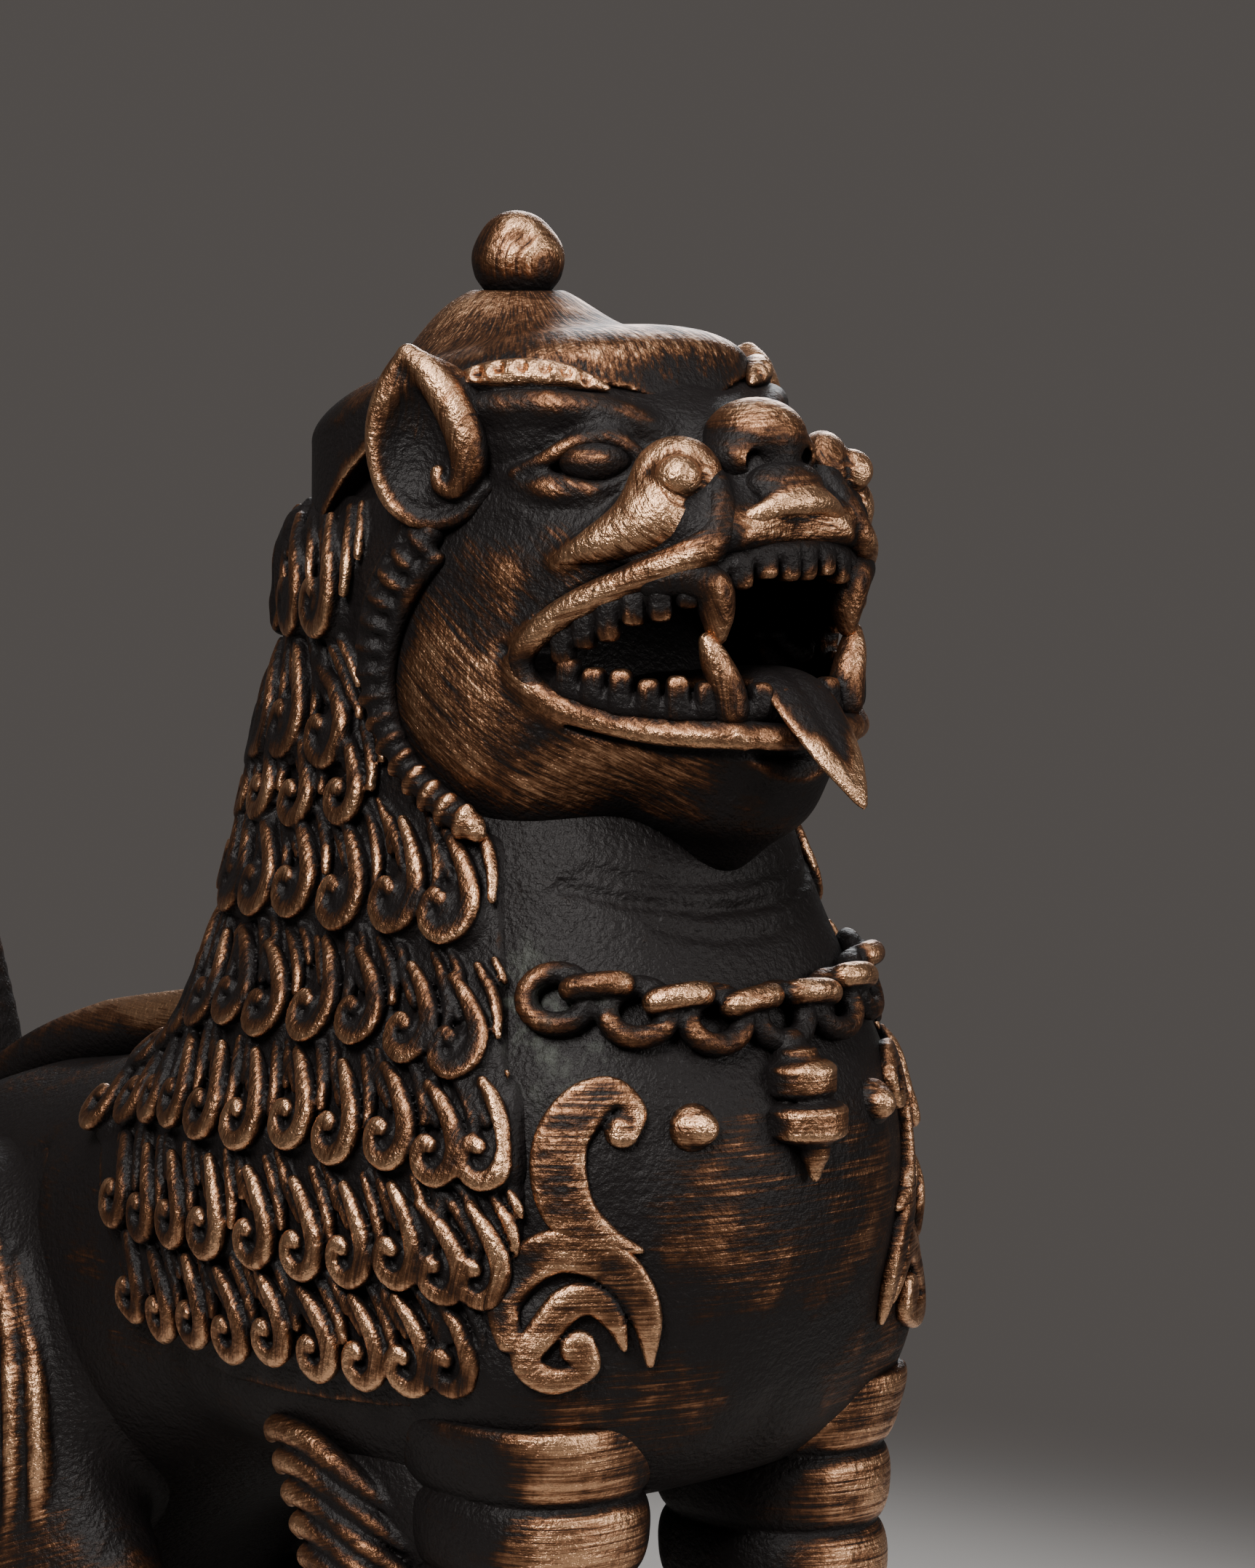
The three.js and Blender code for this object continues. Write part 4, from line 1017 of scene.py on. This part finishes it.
# ---- Ornaments on the chest ----
def make_swirl():
    """A hook curled inside a ring, low on the shoulder."""
    ring = [(-30.1, 34.9, 72.6, 1.2), (-30.9, 34.5, 76.7, 1.7), (-30.1, 36.4, 80.6, 1.9),
            (-27.7, 39.6, 83, 2), (-24.6, 42.7, 82.5, 2), (-21.7, 44.7, 79.8, 1.8),
            (-19.4, 45.5, 75.1, 1.4), (-18.3, 44.9, 69.4, 0.4)]
    hook = [(-25.4, 40.3, 71.8, 1.9), (-24.6, 41, 69.6, 1.2), (-27.2, 37.6, 68.4, 1.4), (-29, 36, 70.6, 1.5),
            (-28, 38.4, 74.4, 1.7), (-26.6, 40.4, 77, 1.8), (-24.6, 42.2, 77.4, 1.6), (-22.6, 43.6, 75, 1.2),
            (-21.4, 44.2, 71.4, 0.4)]
    groove = [(-28.9, 37.4, 76.6, 0.8), (-28.2, 38.8, 78.6, 0.8), (-25.4, 41.6, 80.2, 0.8),
              (-22.2, 44.2, 77.4, 0.8), (-20.4, 44.9, 73, 0.8), (-19.8, 44.9, 70, 0.8)]
    clay = Clay((-36, 28, 62), (-14, 52, 88))
    clay.add(laid(chest, ring, 0.5, 1.3), 0.15)
    clay.add(laid(chest, hook, 0.5, 1.14), 0.15)
    clay.cut(laid(chest, groove, 2.2, steps=6), 0.3)
    clay.keep(lambda x, f, z: chest(x, f, z) - 1.6, 0.5)
    clay.hollow(chest, 1.2)
    rub = [Rub((-25, 41, 76), (9, 9, 10), 0.5)]
    piece("shoulder_swirl", clay, POLISHED, pair=True, rub=rub, grain=around(0, 0, 44), tone=-0.12)


def make_scroll():
    line = [(-21.6, 43.8, 96.6, 1.5), (-20, 44.3, 98.6, 0.9), (-21.8, 42.4, 100.7, 1.3),
            (-24.4, 40.4, 99.2, 2), (-26.5, 39.1, 95.6, 2.2), (-27, 39.3, 91.3, 2.3),
            (-26.2, 40.6, 87.2, 2.1), (-23.9, 43.3, 84.4, 1.3), (-20.3, 45.8, 82.8, 0.3)]
    winding = [(-23.4, 42.4, 93.6, 0.7), (-23.2, 42.6, 96.6, 0.8), (-22.2, 43, 98.4, 0.7),
               (-20.6, 44, 97.6, 0.6), (-20.8, 44.4, 96.4, 0.5)]
    clay = Clay((-36, 30, 76), (-12, 54, 108))
    clay.add(laid(chest, line, 0.4, 1.4), 0.2)
    clay.keep(lambda x, f, z: chest(x, f, z) - 1.6, 0.5)
    clay.cut(laid(chest, winding, 1.7, steps=6), 0.3)
    clay.hollow(chest, 1.2)
    rub = [Rub((-24, 42, 92), (7, 9, 12), 0.5)]
    piece("chest_scroll", clay, POLISHED, pair=True, rub=rub, grain=around(0, 0, 44), tone=-0.2)


def make_stud():
    clay = Clay((-19, 40, 90), (-9, 54, 102))
    centre = on_chest(-13.9, 96.2)
    clay.add(blob(centre, (3, 2.4, 2.9)))
    clay.add(blob(centre + (0, 1.1, 0.2), (2, 2.6, 2)), 0.4)
    piece("chest_stud", clay, POLISHED, pair=True, rub=[Rub(centre, (4, 6, 4), 0.4)], tone=-0.18)


LINK_PITCH = 4.55


def make_chain():
    """Flat rings, with links standing on edge between them."""
    clay = Clay((-32, 24, 98), (0, 54, 120), half=True)
    way = curve([(x, 107.8 + 0.0065 * x * x, 0) for x in np.linspace(-24, 0, 12)], 6)
    places = np.array([on_chest(x, z, 1) for x, z, _ in way])
    whole = lengths(places)[-1]
    turns = np.radians(np.arange(0, 361, 20))
    for i, along in enumerate(whole - np.arange(0, whole - 1, LINK_PITCH)):
        centre = point_along(places, along)
        if i % 2 == 0:
            ring = [(3.6 * math.cos(a), 3 * math.sin(a) - 0.9, 0.2, 1.4) for a in turns]
        else:
            ring = [(2.9 * math.cos(a), 1 + 0.3 * math.cos(a), 1.2 + 1.1 * math.sin(a), 1.5) for a in turns]
        clay.add(stroke(fan(centre, local_axes(torso, centre), ring)), 0.1)
    clay.hollow(torso, 0.8)
    piece("neck_chain", clay, DARK, rub=[Rub((0, 50, 110), (30, 12, 3), 0.35)], tone=-0.12)


DRUMS = [(103, 2.6, 1.6), (100.6, 4.2, 2.9), (96, 4.9, 2.9)]  # (height, radius, half height)


def make_bell():
    """A knob, three drums and a pointed clapper, and a bead beside it."""
    clay = Clay((-9, 40, 86), (0, 60, 108), half=True)
    knob = on_chest(0, 104.4)[1] + 1.4
    clay.add(blob((0, knob, 104.4), (2.1, 2.1, 1.9)))
    for z, r, tall in DRUMS:
        front = on_chest(0, z)[1] + 2.1
        clay.add(blob((0, front, z), (r, r, tall)), 0.3)
        for rim in (-0.4, 0.4):
            clay.add(blob((0, front, z + rim * tall), (r, r, tall * 0.5)), 0.3)
    clapper = on_chest(0, 93.4)[1] + 3.4
    clay.add(stroke([(0, clapper, 94.4, 2), (0, clapper, 92.4, 1.7), (0, clapper, 89.8, 0.7)]), 0.4)
    clay.add(blob((-5.3, on_chest(-5.3, 93.6)[1], 93.6), (1.1, 1, 1.1)))
    clay.cut(stroke([(-4.6, knob + 2.6, 98.5, 0.35), (0, knob + 5, 98.4, 0.35)]), 0.3)
    rub = [Rub((0, 55, 98), (6, 6, 9), 0.35)]
    piece("bell_pendant", clay, POLISHED, rub=rub, grain=around(0, 48, 4), tone=-0.2)


for make in (
    make_head, make_whisker_curl, make_nose, make_lips, make_mouth, make_eyes_and_brows, make_ears, make_cap,
    make_collar, make_mane, make_torso, make_forelegs, make_hind_legs, make_elbow_tufts, make_spine,
    make_tail, make_base_plate, make_swirl, make_scroll, make_stud, make_chain, make_bell,
):
    make()


# ---- Exposure: how open or crowded each place is ----
def solidity(d, step, reach):
    """Share of metal in a small cube round each grid point: about 0.5 on a flat face, less on an edge."""
    return blur(np.clip(0.5 - d / step, 0, 1), reach)


def mirrored(d):
    return np.concatenate([d, d[-2::-1]])


def on_right(points):
    """Points with those on the left moved to their mirror places."""
    return points * np.where(points[:, :1] > 0, (-1, 1, 1), (1, 1, 1))


air = Clay((-52, -140, -4), (0, 68, 206), step=COARSE, half=True)  # every piece in one coarse grid
for look in pieces.values():
    skip = round(COARSE / look.clay.step)
    offset = np.round((look.clay.start - air.start) / COARSE).astype(int)
    d = look.clay.d[::skip, ::skip, ::skip]
    room = np.minimum(air.size - offset, d.shape)
    place = tuple(slice(o, o + n) for o, n in zip(offset, room))
    air.d[place] = np.minimum(air.d[place], d[: room[0], : room[1], : room[2]])
air.d = mirrored(air.d)
crowded_near, crowded_wide = solidity(air.d, COARSE, 2), solidity(air.d, COARSE, 7)


def rubbed(rubs, points):
    """0 to 1: how far points are inside a list of soft rubbed places, on both sides of the lion."""
    total = np.zeros(len(points))
    for rub in rubs:
        off = np.linalg.norm((on_right(points) - rub.centre) / rub.reach, axis=1)
        total = np.maximum(total, rub.strength * np.clip(1.35 - 0.75 * off**2, 0, 1))
    return total


def warp(p):
    """The small unevenness of a cast from a hand-made wax, the same for every piece."""
    x, f, z = p.T
    sway = np.column_stack([
        np.sin(f / 9 + z / 14) + 0.5 * np.sin(z / 5.5 + 1),
        np.sin(x / 8 + z / 11 + 2) + 0.5 * np.sin(f / 6.5),
        np.sin(x / 10 + f / 12 + 4) + 0.4 * np.sin(x / 5),
    ])
    return p + 0.17 * sway * np.clip(z / 10, 0, 1)[:, None]


VERDIGRIS = [Rub((-25.5, 33, 112), (3.4, 5, 13), 0.9), Rub((-24, 39, 106), (5, 4, 6), 0.6)]


def make_mesh(name, points, quads):
    """A smooth mesh in the shared frame, with its faces pointing out."""
    place = warp(points)
    world = np.column_stack([place[:, 0], NECK_AXIS_Y - place[:, 1], place[:, 2]]) / 1000
    corners = world[quads]
    facing = np.cross(corners[:, 2] - corners[:, 0], corners[:, 3] - corners[:, 1])
    if (corners[:, 0] * facing).sum() < 0:
        quads = quads[:, ::-1]
    mesh = bpy.data.meshes.new(name)
    mesh.vertices.add(len(world))
    mesh.vertices.foreach_set("co", world.astype(np.float32).ravel())
    mesh.loops.add(quads.size)
    mesh.loops.foreach_set("vertex_index", quads.ravel().astype(np.int32))
    mesh.polygons.add(len(quads))
    mesh.polygons.foreach_set("loop_start", np.arange(0, quads.size, 4, dtype=np.int32))
    mesh.update()
    mesh.validate()
    mesh.shade_smooth()
    return mesh


def make_object(name, points, quads, own, look):
    """A mesh with what its finish needs at every vertex. own is how crowded the piece alone makes it."""
    mesh = make_mesh(name, points, quads)
    crevice = 0.6 * own + 0.4 * sample(crowded_near, air.start, COARSE, points)
    values = {
        "edge": np.clip(1 - crevice, 0, 1),
        "open": np.clip(1 - sample(crowded_wide, air.start, COARSE, points), 0, 1),
        "rub": rubbed(look.rub, points),
        "green": rubbed(VERDIGRIS, points),
        "tone": np.full(len(points), look.tone),
    }
    for key, value in values.items():
        mesh.attributes.new(key, "FLOAT", "POINT").data.foreach_set("value", value.astype(np.float32))
    marks = look.grain(on_right(points)).astype(np.float32)
    mesh.attributes.new("grain", "FLOAT_VECTOR", "POINT").data.foreach_set("vector", marks.ravel())
    obj = bpy.data.objects.new(f"look_{name}", mesh)
    bpy.context.scene.collection.objects.link(obj)
    mesh.materials.append(finishes[look.slot])
    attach(obj, "root")
    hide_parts(name)


# ---- Finishes ----
class Nodes:
    """Short calls for building a node tree."""

    def __init__(self, tree):
        self.tree = tree

    def new(self, kind, **inputs):
        """A node with its inputs set by name."""
        node = self.tree.nodes.new("ShaderNode" + kind)
        for name, value in inputs.items():
            self.set(node.inputs[name], value)
        return node

    def set(self, socket, value):
        if isinstance(value, bpy.types.NodeSocket):
            self.tree.links.new(value, socket)
        else:
            socket.default_value = value

    def math(self, operation, a, b, clamp=False):
        node = self.new("Math")
        node.operation, node.use_clamp = operation, clamp
        self.set(node.inputs[0], a)
        self.set(node.inputs[1], b)
        return node.outputs[0]

    def plus(self, a, b, clamp=False):
        return self.math("ADD", a, b, clamp)

    def minus(self, a, b, clamp=False):
        return self.math("SUBTRACT", a, b, clamp)

    def times(self, a, b, clamp=False):
        return self.math("MULTIPLY", a, b, clamp)

    def scaled(self, vector, factors):
        node = self.new("VectorMath")
        node.operation = "MULTIPLY"
        self.set(node.inputs[0], vector)
        node.inputs[1].default_value = factors
        return node.outputs[0]

    def attribute(self, name, output="Fac"):
        node = self.new("Attribute")
        node.attribute_name = name
        return node.outputs[output]

    def noise(self, vector, scale, detail=3.0, rough=0.55):
        return self.new("TexNoise", Vector=vector, Scale=scale, Detail=detail, Roughness=rough).outputs["Fac"]

    def ramp(self, value, stops):
        node = self.new("ValToRGB", Fac=value)
        node.color_ramp.interpolation = "EASE" if len(stops) == 2 else "LINEAR"
        elements = node.color_ramp.elements
        while len(elements) < len(stops):
            elements.new(0.5)
        for element, (place, colour) in zip(elements, stops):
            element.position = place
            element.color = (*colour, 1) if isinstance(colour, tuple) else (colour, colour, colour, 1)
        return node.outputs["Color"]

    def mix(self, factor, a, b):
        node = self.new("Mix")
        node.data_type = "RGBA"
        self.set(node.inputs[0], factor)
        self.set(node.inputs[6], a)
        self.set(node.inputs[7], b)
        return node.outputs[2]

    def bump(self, height, strength, distance, **normal):
        node = self.new("Bump", Height=height, Strength=strength, Distance=distance, **normal)
        return node.outputs["Normal"]


# How bare the metal is, and its colour: patina, brown rub and bright copper
COPPER_RAMP = [
    (0, (0.010, 0.008, 0.008)),
    (0.2, (0.020, 0.0125, 0.0095)),
    (0.4, (0.075, 0.034, 0.019)),
    (0.56, (0.2, 0.094, 0.048)),
    (0.76, (0.4, 0.205, 0.112)),
    (1, (0.74, 0.43, 0.245)),
]
BARE_MIDDLE, BARE_CONTRAST = 0.42, 2.3
VERDIGRIS_COLOUR = (0.10, 0.115, 0.09, 1)


def bare_metal(nodes, base, edges, rub_share, streaks, hairlines, blotches, pits):
    """0 to 1: bare on edges and open places, and where it is rubbed through the brush marks."""
    edge = nodes.times(nodes.minus(nodes.attribute("edge"), 0.5), edges)
    opened = nodes.times(nodes.minus(nodes.attribute("open"), 0.55), 0.5)
    worn = nodes.times(nodes.attribute("rub"), rub_share)
    amount = nodes.plus(nodes.plus(edge, base), opened)
    amount = nodes.plus(nodes.plus(amount, nodes.attribute("tone")), worn)
    tooth = nodes.minus(nodes.plus(nodes.times(streaks, 1.5), nodes.times(hairlines, 0.5)), 1.0)
    amount = nodes.plus(amount, nodes.times(tooth, nodes.plus(nodes.times(worn, 1.5), 0.2)))
    uneven = nodes.times(nodes.minus(blotches, 0.5), 0.7)
    bare = nodes.times(nodes.minus(nodes.plus(amount, uneven), BARE_MIDDLE), BARE_CONTRAST)
    grit = nodes.times(nodes.minus(pits, 0.5), 0.35)
    return nodes.plus(nodes.plus(bare, grit), BARE_MIDDLE, clamp=True)


def verdigris(nodes, place):
    """Share of green in crevices of the places where it grows."""
    crevice = nodes.minus(0.62, nodes.attribute("edge"))
    green = nodes.times(nodes.attribute("green"), crevice)
    green = nodes.times(green, nodes.minus(nodes.noise(place, 420, 3), 0.48))
    return nodes.math("MINIMUM", nodes.times(green, 16.0, clamp=True), 0.45)


def finish_of(name, base, edges, rub_share=0.5):
    """Copper under a dark patina. base is how bare it is, edges and rub_share how much those bring up."""
    material = bpy.data.materials.new(name)
    material.use_nodes = True
    nodes = Nodes(material.node_tree)
    shader = material.node_tree.nodes["Principled BSDF"]
    place = nodes.new("TexCoord").outputs["Object"]
    grain = nodes.attribute("grain", "Vector")
    streaks = nodes.noise(nodes.scaled(grain, (0.09, 2.3, 2.3)), 1, 4, 0.65)
    hairlines = nodes.noise(nodes.scaled(grain, (0.16, 7, 7)), 1, 2, 0.6)
    blotches = nodes.noise(place, 150, 5, 0.62)
    pits = nodes.noise(place, 1300, 3, 0.6)

    bare = bare_metal(nodes, base, edges, rub_share, streaks, hairlines, blotches, pits)
    green = verdigris(nodes, place)
    nodes.set(shader.inputs["Base Color"], nodes.mix(green, nodes.ramp(bare, COPPER_RAMP), VERDIGRIS_COLOUR))
    shader.inputs["Specular IOR Level"].default_value = 0.26
    metal = nodes.ramp(bare, [(0, 0.25), (0.35, 0.75), (0.6, 1)])
    nodes.set(shader.inputs["Metallic"], nodes.minus(metal, green, clamp=True))
    rough = nodes.ramp(bare, [(0, 0.5), (0.4, 0.46), (1, 0.32)])
    nodes.set(shader.inputs["Roughness"], nodes.plus(rough, nodes.times(nodes.minus(hairlines, 0.5), 0.3)))
    relief = nodes.bump(hairlines, nodes.times(nodes.attribute("rub"), 0.6), 0.0002)
    relief = nodes.bump(pits, 0.6, 0.0005, Normal=relief)
    relief = nodes.bump(blotches, 0.6, 0.0007, Normal=relief)
    nodes.set(shader.inputs["Normal"], relief)
    return material


finishes = {
    DARK: finish_of(DARK, 0.08, 2.5),
    BRUSHED: finish_of(BRUSHED, 0.14, 2.2),
    POLISHED: finish_of(POLISHED, 0.26, 2.1),
}

for name, look in pieces.items():
    clay = look.clay
    d = mirrored(clay.d) if clay.half else clay.d
    points, quads = skin(d, clay.start, clay.step)
    own = sample(solidity(d, clay.step, 2), clay.start, clay.step, points)
    if look.pair:
        make_object(f"{name}_right", points, quads, own, look)
        make_object(f"{name}_left", points * (-1, 1, 1), quads, own, look)
    else:
        make_object(name, points, quads, own, look)


# ---- Floor, light and camera ----
FLOOR_REACH = 0.9  # m


def make_floor():
    """A pale disc with a painted pool of light: its colour darkens with distance, and it fades out."""
    bpy.ops.mesh.primitive_circle_add(
        vertices=96, radius=FLOOR_REACH, fill_type="NGON", location=(0, 0, -0.0004)
    )
    floor = bpy.context.object
    floor.name = "studio_floor"
    finish = bpy.data.materials.new("pale_floor")
    finish.use_nodes = True
    nodes = Nodes(finish.node_tree)
    shader = finish.node_tree.nodes["Principled BSDF"]
    length = nodes.new("VectorMath")
    length.operation = "LENGTH"
    nodes.set(length.inputs[0], nodes.new("TexCoord").outputs["Object"])
    away = nodes.math("DIVIDE", length.outputs["Value"], FLOOR_REACH)
    # Painted pool of light: pale near the lion, darkening outwards to the backdrop's dark, in place of the
    # lamps' light falling off
    colour = nodes.ramp(away, [(0.12, (0.46, 0.44, 0.42)), (0.25, (0.1, 0.095, 0.09))])
    nodes.set(shader.inputs["Base Color"], colour)
    nodes.set(shader.inputs["Alpha"], nodes.ramp(away, [(0.13, 1.0), (0.27, 0.0)]))
    shader.inputs["Roughness"].default_value = 0.8
    floor.data.materials.append(finish)


def make_world():
    world = bpy.data.worlds.new("studio")
    world.use_nodes = True
    background = world.node_tree.nodes["Background"]
    background.inputs["Color"].default_value = (0.071, 0.064, 0.06, 1)
    background.inputs["Strength"].default_value = 1.25
    bpy.context.scene.world = world


def area_light(name, place, target, size, watts, colour):
    light = bpy.data.lights.new(name, "AREA")
    light.shape, light.size, light.energy, light.color = "DISK", size, watts, colour
    obj = bpy.data.objects.new(name, light)
    obj.location = place
    obj.rotation_euler = (Vector(target) - Vector(place)).to_track_quat("-Z", "Y").to_euler()
    bpy.context.scene.collection.objects.link(obj)


# The photograph's viewing angle, and the lens that frames it
CAMERA_TURN = math.radians(40)  # from straight ahead of the lion towards its right
CAMERA_AWAY, CAMERA_HIGH, AIM_HIGH = 600, 188, 131  # mm
AIM_ASIDE = math.radians(1.263)  # the neck's axis is this far left of the middle
LENS, SENSOR = 114.29, 36  # mm


def make_camera():
    data = bpy.data.cameras.new("camera")
    data.lens, data.sensor_width = LENS, SENSOR
    camera = bpy.data.objects.new("camera", data)
    aside, ahead = CAMERA_AWAY * math.sin(CAMERA_TURN), CAMERA_AWAY * math.cos(CAMERA_TURN)
    camera.location = (-aside / 1000, (NECK_AXIS_Y - ahead) / 1000, CAMERA_HIGH / 1000)
    heading = math.atan2(ahead, aside) - AIM_ASIDE
    pitch = math.atan((CAMERA_HIGH - AIM_HIGH) / CAMERA_AWAY)
    aim = (math.cos(heading) * math.cos(pitch), math.sin(heading) * math.cos(pitch), -math.sin(pitch))
    camera.rotation_euler = Vector(aim).to_track_quat("-Z", "Y").to_euler()
    bpy.context.scene.collection.objects.link(camera)
    bpy.context.scene.camera = camera


make_floor()
make_world()
area_light("key", (-0.62, -0.36, 0.62), (0, -0.03, 0.11), 0.34, 8, (1, 0.98, 0.95))
area_light("front_fill", (0.3, -0.75, 0.3), (0, -0.03, 0.1), 0.4, 3, (1, 0.97, 0.94))
area_light("top", (-0.1, -0.2, 0.75), (0, 0, 0.1), 0.5, 2.6, (1, 1, 1))
area_light("rim", (0.5, 0.42, 0.4), (0, 0, 0.1), 0.3, 2, (0.95, 0.97, 1))
make_camera()
